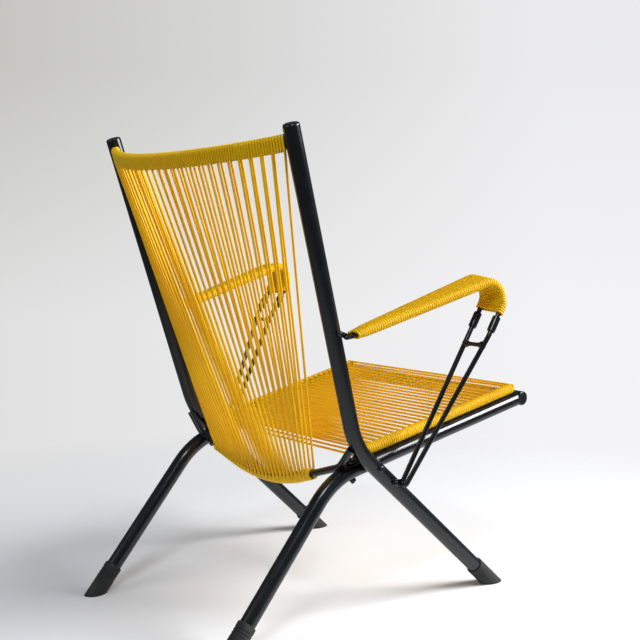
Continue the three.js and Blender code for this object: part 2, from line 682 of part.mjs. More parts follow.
// A domed bolt whose head sits on a face and whose shank runs back from it
function domedBolt(place, seatReach, shank, head, headHeight, length) {
  const round = headHeight / 2;
  const profile = [
    [0, -length],
    [shank / 2, -length],
    [shank / 2, 0],
    [head / 2, 0],
    [head / 2, headHeight - round],
    [head / 2 - round, headHeight],
    [0, headHeight],
  ];
  return turned(profile, along(place, seatReach), place.out);
}

function hexNut(place, seatReach) {
  const hole = around(BOLT_SHANK / 2 + FIT_GAP, NUT_SIDES);
  const width = BOLT_HEAD / 2;
  const profile = [[hole, 0], [width, 0], [width, BOLT_HEAD_HEIGHT], [hole, BOLT_HEAD_HEIGHT], [hole, 0]];
  return turned(profile, along(place, -seatReach), place.out.clone().negate(), NUT_SIDES);
}

// A cap on a tube's end: a plug in the bore and a soft dome that is as wide as the tube
function tubeCap(end, way, dome) {
  const plug = boreRadius * Math.cos(Math.PI / TUBE_SIDES) - FIT_GAP;
  const shoulder = dome / 2;
  const profile = [
    [0, -PLUG_LENGTH],
    [plug, -PLUG_LENGTH],
    [plug, FIT_GAP],
    [tubeRadius, FIT_GAP],
    [tubeRadius, shoulder],
    [tubeRadius - shoulder, dome],
    [0, dome + FIT_GAP],
  ];
  return turned(profile, end, way, TUBE_SIDES);
}

// A tip over a leg's end: a sleeve along the raked leg whose underside is cut flat on the floor
function footTip(end, up) {
  const outer = FOOT_DIAMETER / 2;
  const bore = around(clearRadius, TUBE_SIDES);
  const profile = [
    [0, -OVERRUN],
    [outer, -OVERRUN],
    [outer, FOOT_SLEEVE],
    [bore, FOOT_SLEEVE],
    [bore, -FIT_GAP],
    [0, -FIT_GAP],
  ];
  const tip = turned(profile, end, up, TUBE_SIDES);
  const floor = new THREE.BoxGeometry(2 * OVERRUN, 2 * OVERRUN, 2 * OVERRUN);
  return cutBy(tip, floor.translate(end.x, end.y, -OVERRUN));
}

// Frame tubes, each hollow from end to end and cut to its neighbours
const fatBar = (stations) => sweptBar(stations, around(clearRadius, TUBE_SIDES), TUBE_SIDES);
const fatCrossTube = fatBar(crossTubeLine.map((end) => end.clone().setX(2 * end.x)));

for (const { name, sign } of SIDES) {
  const post = postLine(sign);
  const rail = railLine(sign);
  const bolt = frameBolt(sign);
  const seatBolt = railBolt(sign);
  const screws = [armScrew(sign), strutScrew(sign)];
  const legHoles = screws.map((screw) => drill(screw, 0, TUBE, screwHole));
  const frameHole = drill(bolt, -throughTwo, OVERRUN, boltHole);
  const postTube = sweptBar(post, tubeRadius, TUBE_SIDES, boreRadius);
  piece(`post_front_leg_${name}`, cutBy(postTube, frameHole, ...legHoles), blackEnamel());

  const railTube = sweptBar(rail, tubeRadius, TUBE_SIDES, boreRadius);
  const seatHole = drill(seatBolt, -OVERRUN, OVERRUN, boltHole);
  piece(`rail_rear_leg_${name}`, cutBy(railTube, fatCrossTube, frameHole, seatHole), blackEnamel());

  const fatRail = fatBar(rail);
  const seatRod = sweptBar(seatRodLine(sign), seatRodRadius, ROD_SIDES);
  const seatTab = tabPlate(
    seatBolt.at,
    railAxis(sign, railBoltY - SEAT_TAB_WIDTH / 2),
    SEAT_TAB_WIDTH,
    clearRadius,
    railNormal,
  );
  piece(`seat_rod_${name}`, cutBy(joined(seatRod, seatTab), fatRail, seatHole), blackEnamel());

  const armTab = tabPlate(
    screws[0].at,
    armRear(sign, armRods.inner).addScaledVector(armWay, -armRodRadius),
    ARM_TAB_WIDTH,
    clearRadius,
    screws[0].out,
  );
  const hoop = joined(sweptBar(armHoopLine(sign), armRodRadius, ROD_SIDES), armTab);
  piece(`arm_hoop_${name}`, cutBy(hoop, drill(screws[0], 0, OVERRUN, screwHole)), blackEnamel());

  const strutTab = tabPlate(
    screws[1].at,
    strutLoopPoint(sign, armRods.inner).addScaledVector(frontLegWay(sign), armRodRadius),
    ARM_TAB_WIDTH,
    clearRadius,
    screws[1].out,
  );
  const [bridgeFrom, bridgeTo] = [armRods.inner, armRods.outer].map((rod) => bridgeEnd(sign, rod));
  const bridge = roundBar(bridgeFrom, bridgeTo, armRodRadius, ROD_SIDES);
  const strut = joined(sweptBar(strutLine(sign), armRodRadius, ROD_SIDES), bridge, strutTab);
  piece(`arm_strut_${name}`, cutBy(strut, drill(screws[1], 0, OVERRUN, screwHole)), blackEnamel());

  for (const [place, rod] of Object.entries(armRods)) {
    const centre = couplingCentre(sign, rod);
    const bore = around(armRodRadius + FIT_GAP, FITTING_SIDES);
    const outer = COUPLING_DIAMETER / 2;
    const half = COUPLING_LENGTH / 2;
    const sleeve = [[bore, -half], [outer, -half], [outer, half], [bore, half], [bore, -half]];
    piece(`arm_coupling_${place}_${name}`, turned(sleeve, centre, armFrontWay), blackEnamel());
  }

  const oneTube = TUBE + FIT_GAP + 2 * BOLT_HEAD_HEIGHT;
  const frameShank = TUBE + FIT_GAP + oneTube;
  const railShank = TAB_THICKNESS + FIT_GAP + oneTube;
  const onTab = clearRadius + TAB_THICKNESS + FIT_GAP;
  const boltOn = (place, reach, length) => (
    domedBolt(place, reach, BOLT_SHANK, BOLT_HEAD, BOLT_HEAD_HEIGHT, length)
  );
  const screwOn = (place) => (
    domedBolt(place, onTab, SCREW_SHANK, SCREW_HEAD, SCREW_HEAD_HEIGHT, SCREW_LENGTH)
  );
  piece(`frame_bolt_${name}`, boltOn(bolt, clearRadius, frameShank), darkSteel());
  piece(`frame_nut_${name}`, hexNut(bolt, TUBE + FIT_GAP + clearRadius), darkSteel());
  piece(`rail_bolt_${name}`, boltOn(seatBolt, onTab, railShank), darkSteel());
  piece(`rail_nut_${name}`, hexNut(seatBolt, clearRadius + RAIL_NUT_BEND_GAP), darkSteel());
  piece(`arm_screw_${name}`, screwOn(screws[0]), darkSteel());
  piece(`strut_screw_${name}`, screwOn(screws[1]), darkSteel());

  piece(`post_cap_${name}`, tubeCap(postEnd(sign), postWay(sign), CAP_DOME), blackPlastic());
  piece(`cross_tube_plug_${name}`, tubeCap(crossTubeEnd(sign), vec(sign, 0, 0), PLUG_DOME), blackPlastic());
  piece(`front_foot_${name}`, footTip(post.at(-1), frontLegWay(sign).negate()), blackRubber());
  const rearWay = rail.at(-1).clone().sub(rail.at(-2)).normalize();
  piece(`rear_foot_${name}`, footTip(rail.at(-1), rearWay.negate()), blackRubber());

  piece(`arm_cord_${name}`, cordTube(`arm cord ${name}`, armCordLine(sign), armRodRadius), yellowCord());
}

// Pieces that run from side to side
piece('front_cross_tube', sweptBar(crossTubeLine, tubeRadius, TUBE_SIDES, boreRadius), blackEnamel());
const fatPosts = SIDES.map(({ sign }) => fatBar(postLine(sign)));
piece('back_top_rail', cutBy(topRailBand(), ...fatPosts), blackEnamel());
const fatRails = SIDES.map(({ sign }) => fatBar(railLine(sign)));
const lowerRail = sweptBar(lowerRailLine, backRodRadius, ROD_SIDES);
piece('back_lower_rail', cutBy(lowerRail, ...fatPosts, ...fatRails), blackEnamel());
piece('back_cord', cordTube('back cord', backCordLine(), backRodRadius), yellowCord());
piece('seat_cord', cordTube('seat cord', seatCordLine(), seatRodRadius), yellowCord());

// The finished chair stands on Z = 0, centred in X and Y.
const bounds = new THREE.Box3().setFromObject(chair);
const middle = bounds.getCenter(vec(0, 0, 0));
chair.children.forEach((mesh) => mesh.geometry.translate(0, -middle.y, -bounds.min.z));
console.log('chair', bounds.getSize(vec(0, 0, 0)), 'moved back by', -middle.y, 'foot', bounds.min.z);

export default chair;
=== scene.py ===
# %% [markdown]
# A lounge chair of bent black tubes, strung with golden yellow plastic cord.
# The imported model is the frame: it fixes every size and place, and the physics uses it for motion.
# This file gives each of its pieces the look of the real one. Lengths are written in millimetres,
# as a chair maker would, and become metres only where a mesh is made.

# %% Load the frame and note its size
import random
from math import asin, atan2, ceil, copysign, cos, dist, floor, pi, radians, sin, sqrt, tan

import bmesh
import bpy
from mathutils import Matrix, Vector


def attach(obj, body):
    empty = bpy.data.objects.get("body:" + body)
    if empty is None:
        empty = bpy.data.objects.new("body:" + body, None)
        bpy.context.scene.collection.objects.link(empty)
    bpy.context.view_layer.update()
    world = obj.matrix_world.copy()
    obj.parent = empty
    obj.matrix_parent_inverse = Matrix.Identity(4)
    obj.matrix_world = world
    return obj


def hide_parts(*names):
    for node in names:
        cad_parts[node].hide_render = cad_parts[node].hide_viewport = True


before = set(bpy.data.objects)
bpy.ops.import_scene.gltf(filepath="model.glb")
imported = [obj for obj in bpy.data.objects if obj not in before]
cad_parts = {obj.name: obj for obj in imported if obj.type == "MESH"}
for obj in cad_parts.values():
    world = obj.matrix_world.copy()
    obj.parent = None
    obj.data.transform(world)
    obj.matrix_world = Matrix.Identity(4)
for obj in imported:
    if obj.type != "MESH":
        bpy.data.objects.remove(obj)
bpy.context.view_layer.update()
MM = 0.001
print("nodes in the frame:", len(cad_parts))

# %% [markdown]
# The camera comes first, so that every later piece can be looked at from the photograph's side.
# Its place was found by fitting a pinhole camera to the chair's straight tubes, which are mirrored
# left to right. It stands behind the sitter's right, with 1100 pixels of focal length over 640.

# %% Camera
FOCAL_PIXELS = 1100
FRAME_PIXELS = 640
SENSOR_WIDTH = 36
CAMERA_PLACE = Vector((-1601.0, 1414.05, 738.7))
CAMERA_YAW = radians(47.8436)
CAMERA_PITCH = radians(5.8456)

look = Vector((
    sin(CAMERA_YAW) * cos(CAMERA_PITCH),
    -cos(CAMERA_YAW) * cos(CAMERA_PITCH),
    -sin(CAMERA_PITCH),
))
across = look.cross(Vector((0, 0, 1))).normalized()
above = across.cross(look)
camera_data = bpy.data.cameras.new("camera")
camera_data.sensor_width = SENSOR_WIDTH
camera_data.lens = SENSOR_WIDTH * FOCAL_PIXELS / FRAME_PIXELS
camera = bpy.data.objects.new("camera", camera_data)
bpy.context.scene.collection.objects.link(camera)
turn = Matrix((across, above, -look)).transposed().to_4x4()
camera.matrix_world = Matrix.Translation(CAMERA_PLACE * MM) @ turn
bpy.context.scene.camera = camera
print("lens", round(camera_data.lens, 2), "mm")

# %% [markdown]
# The sizes below are the ones that the solids were made from. The side frame's places are counted
# from the bend of the post, so ORIGIN_Y carries them to the middle of the chair's box.

# %% Sizes of the side frames
TUBE = 28.6
SEAT_ROD = 11.5
BACK_ROD = 13.5
ARM_ROD = 9
FIT_GAP = 0.35
ORIGIN_Y = 97.111

BEND_HALF_WIDTH = 238.5
BEND_HEIGHT = 319
POST_RISE = 548
POST_LEAN = radians(17)
POST_SPLAY = radians(2.63)
FRONT_LEG_RAKE = radians(48.3)
FRONT_LEG_SPLAY = radians(3.18)
REAR_LEG_RAKE = radians(41.7)
RAIL_PITCH = radians(10.48)
RAIL_SPLAY = radians(2.9)
CROSSING_DROP = 42.1
REAR_BEND_BEHIND_CROSSING = 74
CROSS_TUBE_AHEAD_OF_CROSSING = 416.7
TUBE_BEND_RADIUS = 150
LEG_END_HEIGHT = 22

SIDES = {"right": -1, "left": 1}
X_AXIS = Vector((1, 0, 0))
Z_AXIS = Vector((0, 0, 1))
tube_radius = TUBE / 2
clear_radius = tube_radius + FIT_GAP


def place(x, y, z):
    """A point counted from the post's bend, in the row frame."""
    return Vector((x, y + ORIGIN_Y, z))


def post_axis(sign, height):
    rise = height - BEND_HEIGHT
    half_width = BEND_HALF_WIDTH + rise * tan(POST_SPLAY)
    return place(sign * half_width, rise * tan(POST_LEAN), height)


def front_leg_axis(sign, height):
    drop = BEND_HEIGHT - height
    half_width = BEND_HALF_WIDTH + drop * tan(FRONT_LEG_SPLAY)
    return place(sign * half_width, -drop * tan(FRONT_LEG_RAKE), height)


def crossing(sign):
    return front_leg_axis(sign, BEND_HEIGHT - CROSSING_DROP)


rail_half_width = crossing(1).x - tube_radius - clear_radius
rail_normal = Vector((0, sin(RAIL_PITCH), cos(RAIL_PITCH)))


def rail_axis(sign, y, lift=0):
    """A point above the seat rail's axis; y is in the row frame."""
    ahead = crossing(1).y - y
    half_width = rail_half_width + ahead * tan(RAIL_SPLAY)
    centre = Vector((sign * half_width, y, crossing(1).z + ahead * tan(RAIL_PITCH)))
    return centre + rail_normal * lift


rear_bend_y = crossing(1).y + REAR_BEND_BEHIND_CROSSING
cross_tube_y = crossing(1).y - CROSS_TUBE_AHEAD_OF_CROSSING


def rear_leg_axis(sign, height):
    bend = rail_axis(sign, rear_bend_y)
    return Vector((bend.x, bend.y + (bend.z - height) * tan(REAR_LEG_RAKE), height))


print("seat rail half width", round(rail_half_width, 1), "mm, front tube at y", round(cross_tube_y, 1))

# %% [markdown]
# A bent tube is a line through corners, each rounded to the radius of the bending die. A curve object
# could round its corners too, but arcs worked out here are exactly those of the solids. They are cut
# into short steps, so that light runs round a bend without a kink.

# %% Lines with rounded corners
BEND_STEP = radians(2.5)


def bent_line(corners, radii):
    stations = [corners[0].copy()]
    for before, corner, after, radius in zip(corners, corners[1:], corners[2:], radii):
        back = (before - corner).normalized()
        ahead = (after - corner).normalized()
        bend = pi - back.angle(ahead)
        setback = radius * tan(bend / 2)
        centre = corner + (back + ahead).normalized() * (radius / cos(bend / 2))
        start = corner + back * setback - centre
        axis = start.cross(corner + ahead * setback - centre).normalized()
        steps = max(2, ceil(bend / BEND_STEP))
        for k in range(steps + 1):
            stations.append(centre + Matrix.Rotation(bend * k / steps, 3, axis) @ start)
    return stations + [corners[-1].copy()]


def line_length(points):
    return sum((b - a).length for a, b in zip(points, points[1:]))


# %% [markdown]
# Finishes come next. An image could be wrapped round a tube, but it would show its seam and pixels, so
# each finish here is a small tree of noises on Object coordinates, which stays on the piece from every
# side. The helpers below make the three things that all finishes need: patches of two colours, a
# gloss that varies, and a fine relief.

# %% Helpers for finishes
NOISE_LOW = 0.35
NOISE_HIGH = 0.65


def finish_of(name, colour, roughness, metallic=0.0):
    material = bpy.data.materials.new(name)
    material.use_nodes = True
    shader = material.node_tree.nodes["Principled BSDF"]
    shader.inputs["Base Color"].default_value = (*colour, 1)
    shader.inputs["Roughness"].default_value = roughness
    shader.inputs["Metallic"].default_value = metallic
    return material, material.node_tree, shader


def noise_of(tree, scale, detail, stretch=(1, 1, 1)):
    """Noise on the piece's own coordinates, which stretch scales along X, Y and Z."""
    where = tree.nodes.new("ShaderNodeTexCoord")
    mapping = tree.nodes.new("ShaderNodeMapping")
    noise = tree.nodes.new("ShaderNodeTexNoise")
    mapping.inputs["Scale"].default_value = stretch
    noise.inputs["Scale"].default_value = scale
    noise.inputs["Detail"].default_value = detail
    tree.links.new(where.outputs["Object"], mapping.inputs["Vector"])
    tree.links.new(mapping.outputs["Vector"], noise.inputs["Vector"])
    return noise.outputs["Fac"]


def between(tree, factor, low, high, start=NOISE_LOW, stop=NOISE_HIGH):
    """A number that runs from low to high as the factor does from start to stop."""
    ramp = tree.nodes.new("ShaderNodeMapRange")
    for name, value in (("From Min", start), ("From Max", stop), ("To Min", low), ("To Max", high)):
        ramp.inputs[name].default_value = value
    tree.links.new(factor, ramp.inputs["Value"])
    return ramp.outputs["Result"]


def mixed(tree, factor, first, second):
    mix = tree.nodes.new("ShaderNodeMix")
    mix.data_type = "RGBA"
    tree.links.new(factor, mix.inputs["Factor"])
    for socket, value in ((mix.inputs["A"], first), (mix.inputs["B"], second)):
        if isinstance(value, tuple):
            socket.default_value = (*value, 1)
        else:
            tree.links.new(value, socket)
    return mix.outputs["Result"]


def glossed(tree, shader, noise, smoothest, roughest):
    tree.links.new(between(tree, noise, smoothest, roughest), shader.inputs["Roughness"])


def bumped(tree, shader, noise, strength, distance):
    bump = tree.nodes.new("ShaderNodeBump")
    bump.inputs["Strength"].default_value = strength
    bump.inputs["Distance"].default_value = distance
    tree.links.new(noise, bump.inputs["Height"])
    tree.links.new(bump.outputs["Normal"], shader.inputs["Normal"])


# %% [markdown]
# The frame is stove enamelled: near black with a hint of blue, glossy enough to show soft streaks of the
# lamps, with the faint ripple that sprayed paint keeps. A clear coat over a matt base would do as well,
# but one glossy layer is how enamel is really built.

# %% Black enamel
enamel, tree, shader = finish_of("black_enamel", (0.004, 0.0055, 0.007), 0.2)
scuffs = between(tree, noise_of(tree, scale=38, detail=6), 0.0, 1.0, 0.56, 0.72)
colour = mixed(tree, scuffs, (0.0035, 0.0048, 0.0062), (0.008, 0.010, 0.012))
tree.links.new(colour, shader.inputs["Base Color"])
glossed(tree, shader, noise_of(tree, scale=14, detail=4), 0.17, 0.26)
bumped(tree, shader, noise_of(tree, scale=420, detail=2), 0.05, 0.0004)
print("enamel nodes:", len(tree.nodes))

# %% [markdown]
# The cord is extruded PVC: one golden yellow all through, smooth and slightly waxy. Light goes some way
# into it, which keeps the shaded strands a warm orange, so the shader has a share of subsurface light
# whose red goes deepest. Years of sun and hands leave its colour slightly uneven, so two slow noises
# tint it, and a finer one is its skin.

# %% Yellow cord
cord_skin, tree, shader = finish_of("yellow_cord", (0.86, 0.51, 0.004), 0.34)
fade = between(tree, noise_of(tree, scale=9, detail=3), 0.0, 1.0)
grime = between(tree, noise_of(tree, scale=55, detail=5), 0.0, 0.2, 0.52, 0.75)
colour = mixed(tree, fade, (0.86, 0.510, 0.003), (0.92, 0.565, 0.005))
tree.links.new(mixed(tree, grime, colour, (0.60, 0.31, 0.002)), shader.inputs["Base Color"])
shader.inputs["Specular IOR Level"].default_value = 0.3
shader.inputs["Subsurface Weight"].default_value = 0.65
shader.inputs["Subsurface Radius"].default_value = (1.0, 0.70, 0.06)
shader.inputs["Subsurface Scale"].default_value = 0.004
glossed(tree, shader, noise_of(tree, scale=120, detail=3), 0.3, 0.46)
bumped(tree, shader, noise_of(tree, scale=700, detail=2), 0.03, 0.0003)
print("cord nodes:", len(tree.nodes))

# %% [markdown]
# Caps and plugs are moulded plastic, glossy from the mould. The tips of the legs are rubber, matt and
# dusty. Screws and bolts are dark steel, whose polish runs along the shank, so their noise is stretched.

# %% Plastic, rubber and steel
black_plastic, tree, shader = finish_of("black_plastic", (0.006, 0.007, 0.008), 0.26)
glossed(tree, shader, noise_of(tree, scale=60, detail=4), 0.2, 0.32)
bumped(tree, shader, noise_of(tree, scale=900, detail=2), 0.05, 0.0002)

black_rubber, tree, shader = finish_of("black_rubber", (0.014, 0.014, 0.014), 0.8)
dust = between(tree, noise_of(tree, scale=45, detail=5), 0.0, 0.6, 0.5, 0.7)
colour = mixed(tree, dust, (0.013, 0.013, 0.013), (0.05, 0.048, 0.045))
tree.links.new(colour, shader.inputs["Base Color"])
bumped(tree, shader, noise_of(tree, scale=1300, detail=2), 0.25, 0.0003)

dark_steel, tree, shader = finish_of("dark_steel", (0.045, 0.047, 0.052), 0.38, metallic=1.0)
glossed(tree, shader, noise_of(tree, scale=160, detail=4), 0.24, 0.5)
bumped(tree, shader, noise_of(tree, scale=1500, detail=2, stretch=(1, 1, 0.2)), 0.1, 0.0001)

# %% [markdown]
# Everything that runs along a line, from a 28 mm tube to the thin cord, is the same job: a round section
# pushed along a path. A bevelled curve object could do it, but one Geometry Nodes tree does it for all,
# with the radius, the number of sides and the finish as inputs. It takes the path as a chain of edges,
# and gives back a closed smooth bar with crisp rims.

# %% The tree that pushes a round section along a path
RIM_ANGLE = radians(50)


def bar_tree():
    tree = bpy.data.node_groups.new("round_bar_on_path", "GeometryNodeTree")
    sockets = {}
    for name, kind in (
        ("Path", "NodeSocketGeometry"),
        ("Radius", "NodeSocketFloat"),
        ("Sides", "NodeSocketInt"),
        ("Finish", "NodeSocketMaterial"),
    ):
        sockets[name] = tree.interface.new_socket(name, in_out="INPUT", socket_type=kind).identifier
    tree.interface.new_socket("Bar", in_out="OUTPUT", socket_type="NodeSocketGeometry")
    node = {"given": tree.nodes.new("NodeGroupInput")}
    for name, kind, feeds in (
        ("curve", "GeometryNodeMeshToCurve", {"Mesh": "given/Path"}),
        ("circle", "GeometryNodeCurvePrimitiveCircle",
         {"Resolution": "given/Sides", "Radius": "given/Radius"}),
        ("sweep", "GeometryNodeCurveToMesh", {"Curve": "curve/Curve", "Profile Curve": "circle/Curve"}),
        ("smooth", "GeometryNodeSetShadeSmooth", {"Geometry": "sweep/Mesh"}),
        ("angle", "GeometryNodeInputMeshEdgeAngle", {}),
        ("sharp", "FunctionNodeCompare", {"A": "angle/Unsigned Angle"}),
        ("rims", "GeometryNodeSetShadeSmooth", {"Geometry": "smooth/Geometry", "Selection": "sharp/Result"}),
        ("real", "GeometryNodeRealizeInstances", {"Geometry": "rims/Geometry"}),
        ("paint", "GeometryNodeSetMaterial", {"Geometry": "real/Geometry", "Material": "given/Finish"}),
        ("result", "NodeGroupOutput", {"Bar": "paint/Geometry"}),
    ):
        node[name] = tree.nodes.new(kind)
        for socket, feed in feeds.items():
            source, output = feed.split("/")
            tree.links.new(node[source].outputs[output], node[name].inputs[socket])
    node["sweep"].inputs["Fill Caps"].default_value = True
    node["rims"].domain = "EDGE"
    node["rims"].inputs["Shade Smooth"].default_value = False
    node["sharp"].operation = "GREATER_THAN"
    node["sharp"].inputs["B"].default_value = RIM_ANGLE
    return tree, sockets


round_bar, bar_inputs = bar_tree()
made = {}


def settle(obj, stands_for):
    """The piece, already in its finish, joins the chair: it rides on the one body, and the solids it stands
    for are hidden.
    """
    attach(obj, "root")
    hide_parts(*stands_for)
    count = sum(len(face.vertices) - 2 for face in obj.data.polygons)
    made[obj.name] = count
    print(f"{obj.name}: {count} triangles")
    return obj


def linked(name, data):
    obj = bpy.data.objects.new(name, data)
    bpy.context.scene.collection.objects.link(obj)
    return obj


def bar(name, points, radius, finish, sides=48, stands_for=()):
    """A bar along points. One that stands for no solid stays loose, to be joined to others."""
    path = bpy.data.meshes.new(name)
    path.from_pydata([point * MM for point in points], [(i, i + 1) for i in range(len(points) - 1)], [])
    obj = linked(name, path)
    modifier = obj.modifiers.new("bar", "NODES")
    modifier.node_group = round_bar
    modifier[bar_inputs["Radius"]] = radius * MM
    modifier[bar_inputs["Sides"]] = sides
    modifier[bar_inputs["Finish"]] = finish
    seen = obj.evaluated_get(bpy.context.evaluated_depsgraph_get())
    plain = bpy.data.meshes.new_from_object(seen)
    obj.modifiers.remove(modifier)
    obj.data = plain
    plain.name = name
    return settle(obj, stands_for) if stands_for else obj


# %% [markdown]
# Turned and pressed pieces, such as caps, bolts and flattened rod ends, could be cut from blocks with
# booleans, which leave ragged edges. Here they are rings of points joined into a skin. A ring can be
# round or take any outline, so the slot in a screw head is one more ring.

# %% Helpers that join rings into a closed skin
TINY = 1e-7
POINTED = 0.01


def kept_mesh(name, mesh, finish):
    """The mesh under construction becomes an object in its finish."""
    data = bpy.data.meshes.new(name)
    mesh.to_mesh(data)
    mesh.free()
    data.materials.append(finish)
    return linked(name, data)


def skin(name, rings, finish, closed=False, stands_for=(), sharp=35):
    mesh = bmesh.new()
    rows = [[mesh.verts.new(point * MM) for point in ring] for ring in rings]
    count = len(rows[0])
    pairs = list(zip(rows, rows[1:])) + ([(rows[-1], rows[0])] if closed else [])
    for low, high in pairs:
        for i in range(count):
            k = (i + 1) % count
            mesh.faces.new((low[i], low[k], high[k], high[i]))
    if not closed:
        mesh.faces.new(list(reversed(rows[0])))
        mesh.faces.new(rows[-1])
    bmesh.ops.remove_doubles(mesh, verts=mesh.verts, dist=TINY)
    bmesh.ops.recalc_face_normals(mesh, faces=mesh.faces)
    for face in mesh.faces:
        face.smooth = True
    for edge in mesh.edges:
        if len(edge.link_faces) == 2 and edge.calc_face_angle(0) > radians(sharp):
            edge.smooth = False
    obj = kept_mesh(name, mesh, finish)
    return settle(obj, stands_for) if stands_for else obj


def basis_for(axis):
    """Two directions square to an axis."""
    axis = axis.normalized()
    first = axis.cross(X_AXIS if abs(axis.x) < 0.9 else Z_AXIS).normalized()
    return first, axis.cross(first)


def round_ring(centre, axis, radius, count=48, outline=None):
    first, second = basis_for(axis)
    ring = []
    for i in range(count):
        angle = 2 * pi * i / count
        reach = outline(angle) if outline else radius
        ring.append(centre + first * (reach * cos(angle)) + second * (reach * sin(angle)))
    return ring


def turned(name, profile, foot, axis, finish, closed=False, stands_for=()):
    """A lathe piece: its profile is (radius, height) pairs, and the height runs from foot along axis."""
    axis = axis.normalized()
    rings = [round_ring(foot + axis * height, axis, max(radius, POINTED)) for radius, height in profile]
    return skin(name, rings, finish, closed=closed, stands_for=stands_for)


def joined(name, parts, finish, stands_for=()):
    """Several loose skins become one piece."""
    mesh = bmesh.new()
    for part in parts:
        mesh.from_mesh(part.data)
        bpy.data.objects.remove(part)
    return settle(kept_mesh(name, mesh, finish), stands_for)


# %% [markdown]
# The side frames. Each side has two bent tubes that cross: the post and front leg outside, the seat
# rail and rear leg inside, with one long bolt through both. The front tube joins the two rails.

# %% Bent tubes of the side frames
def post_end(sign):
    return post_axis(sign, BEND_HEIGHT + POST_RISE)


def post_way(sign):
    return (post_end(sign) - post_axis(sign, BEND_HEIGHT)).normalized()


def front_leg_way(sign):
    return (front_leg_axis(sign, 0) - front_leg_axis(sign, BEND_HEIGHT)).normalized()


post_lines = {}
rail_lines = {}
for side, sign in SIDES.items():
    post_lines[sign] = bent_line(
        [post_end(sign), post_axis(sign, BEND_HEIGHT), front_leg_axis(sign, LEG_END_HEIGHT)],
        [TUBE_BEND_RADIUS],
    )
    rail_lines[sign] = bent_line(
        [rail_axis(sign, cross_tube_y), rail_axis(sign, rear_bend_y), rear_leg_axis(sign, LEG_END_HEIGHT)],
        [TUBE_BEND_RADIUS],
    )
    bar(f"post_and_front_leg_{side}", post_lines[sign], tube_radius, enamel,
        stands_for=[f"post_front_leg_{side}"])
    bar(f"rail_and_rear_leg_{side}", rail_lines[sign], tube_radius, enamel,
        stands_for=[f"rail_rear_leg_{side}"])
    print(side, "post tube", round(line_length(post_lines[sign])), "mm long")

# %% Front tube
PLUG_DOME = 3


def cross_tube_end(sign):
    return rail_axis(sign, cross_tube_y) + X_AXIS * (sign * (tube_radius - PLUG_DOME))


bar("front_tube", [cross_tube_end(-1), cross_tube_end(1)], tube_radius, enamel,
    stands_for=["front_cross_tube"])

# %% [markdown]
# The back hangs between two bars. The top one is a flat bar on edge, bowed rearward in the plane square
# to the posts. The lower one is a round bar with a long sag, straight flanks and a knee up to each weld.
# Only short bare ends of them show, because the cord covers the rest. The cord needs places beside both
# bars as well as on them, so each bar first gets a function that gives such places.

# %% Places along the two back bars
TOP_BAR_BELOW_POST_END = 23.5
TOP_BAR_HEIGHT = 20
TOP_BAR_THICKNESS = 7
BOW_DEPTH = 90
WELD_DROP = 1
WELD_BEHIND = 11
SAG_LEAN = radians(5.4)
KNEE_HALF_WIDTH = 206.3
KNEE_DROP = 38
KNEE_RADIUS = 40
SAG_DROP = 108
SAG_RADIUS = 319

top_end = post_axis(1, BEND_HEIGHT + POST_RISE - TOP_BAR_BELOW_POST_END)
top_radius = (top_end.x ** 2 + BOW_DEPTH ** 2) / (2 * BOW_DEPTH)
top_half_angle = asin(top_end.x / top_radius)
top_up = Vector((0, sin(POST_LEAN), cos(POST_LEAN)))
top_back = Vector((0, cos(POST_LEAN), -sin(POST_LEAN)))
top_centre = Vector((0, top_end.y, top_end.z)) + top_back * (BOW_DEPTH - top_radius)


def by_top_bar(angle, behind, above):
    reach = top_radius + behind
    on_bow = top_centre + X_AXIS * (reach * sin(angle)) + top_back * (reach * cos(angle))
    return on_bow + top_up * above


lower_weld = post_axis(1, BEND_HEIGHT - WELD_DROP) + Vector((0, WELD_BEHIND, 0))
lower_down = Vector((0, -sin(SAG_LEAN), -cos(SAG_LEAN)))
lower_back = Vector((0, cos(SAG_LEAN), -sin(SAG_LEAN)))
lower_slope = atan2(SAG_DROP - KNEE_DROP, KNEE_HALF_WIDTH)
lower_centre_drop = SAG_DROP - SAG_RADIUS / cos(lower_slope)


def lower_place(x, drop):
    return Vector((x, lower_weld.y, lower_weld.z)) + lower_down * drop


def by_lower_bar(reach, behind, below):
    """A place beside the sag or its straight flanks, at a length along the bar from its middle."""
    angle = max(-lower_slope, min(lower_slope, reach / SAG_RADIUS))
    straight = reach - angle * SAG_RADIUS
    radius = SAG_RADIUS + below
    x = radius * sin(angle) + straight * cos(angle)
    drop = lower_centre_drop + radius * cos(angle) - straight * sin(angle)
    return lower_place(x, drop) + lower_back * behind


lower_line = bent_line(
    [
        lower_place(-lower_weld.x, 0),
        lower_place(-KNEE_HALF_WIDTH, KNEE_DROP),
        lower_place(0, SAG_DROP),
        lower_place(KNEE_HALF_WIDTH, KNEE_DROP),
        lower_place(lower_weld.x, 0),
    ],
    [KNEE_RADIUS, SAG_RADIUS, KNEE_RADIUS],
)
print("top bar", round(2 * top_half_angle * top_radius), "mm long")
print("lower bar", round(line_length(lower_line)), "mm long")

# %% Back bars
TOP_BAR_CORNER = 1.5
TOP_BAR_LET_IN_SHARE = 0.93
TOP_BAR_STEPS = 60


def flat_bar_outline(corner, half_thickness, half_height, steps=4):
    """The outline of a flat bar with rounded edges, as (behind, above) pairs."""
    outline = []
    for across_sign, up_sign, start in ((1, 1, 0), (-1, 1, 90), (-1, -1, 180), (1, -1, 270)):
        for k in range(steps + 1):
            angle = radians(start + 90 * k / steps)
            outline.append((
                across_sign * (half_thickness - corner) + corner * cos(angle),
                up_sign * (half_height - corner) + corner * sin(angle),
            ))
    return outline


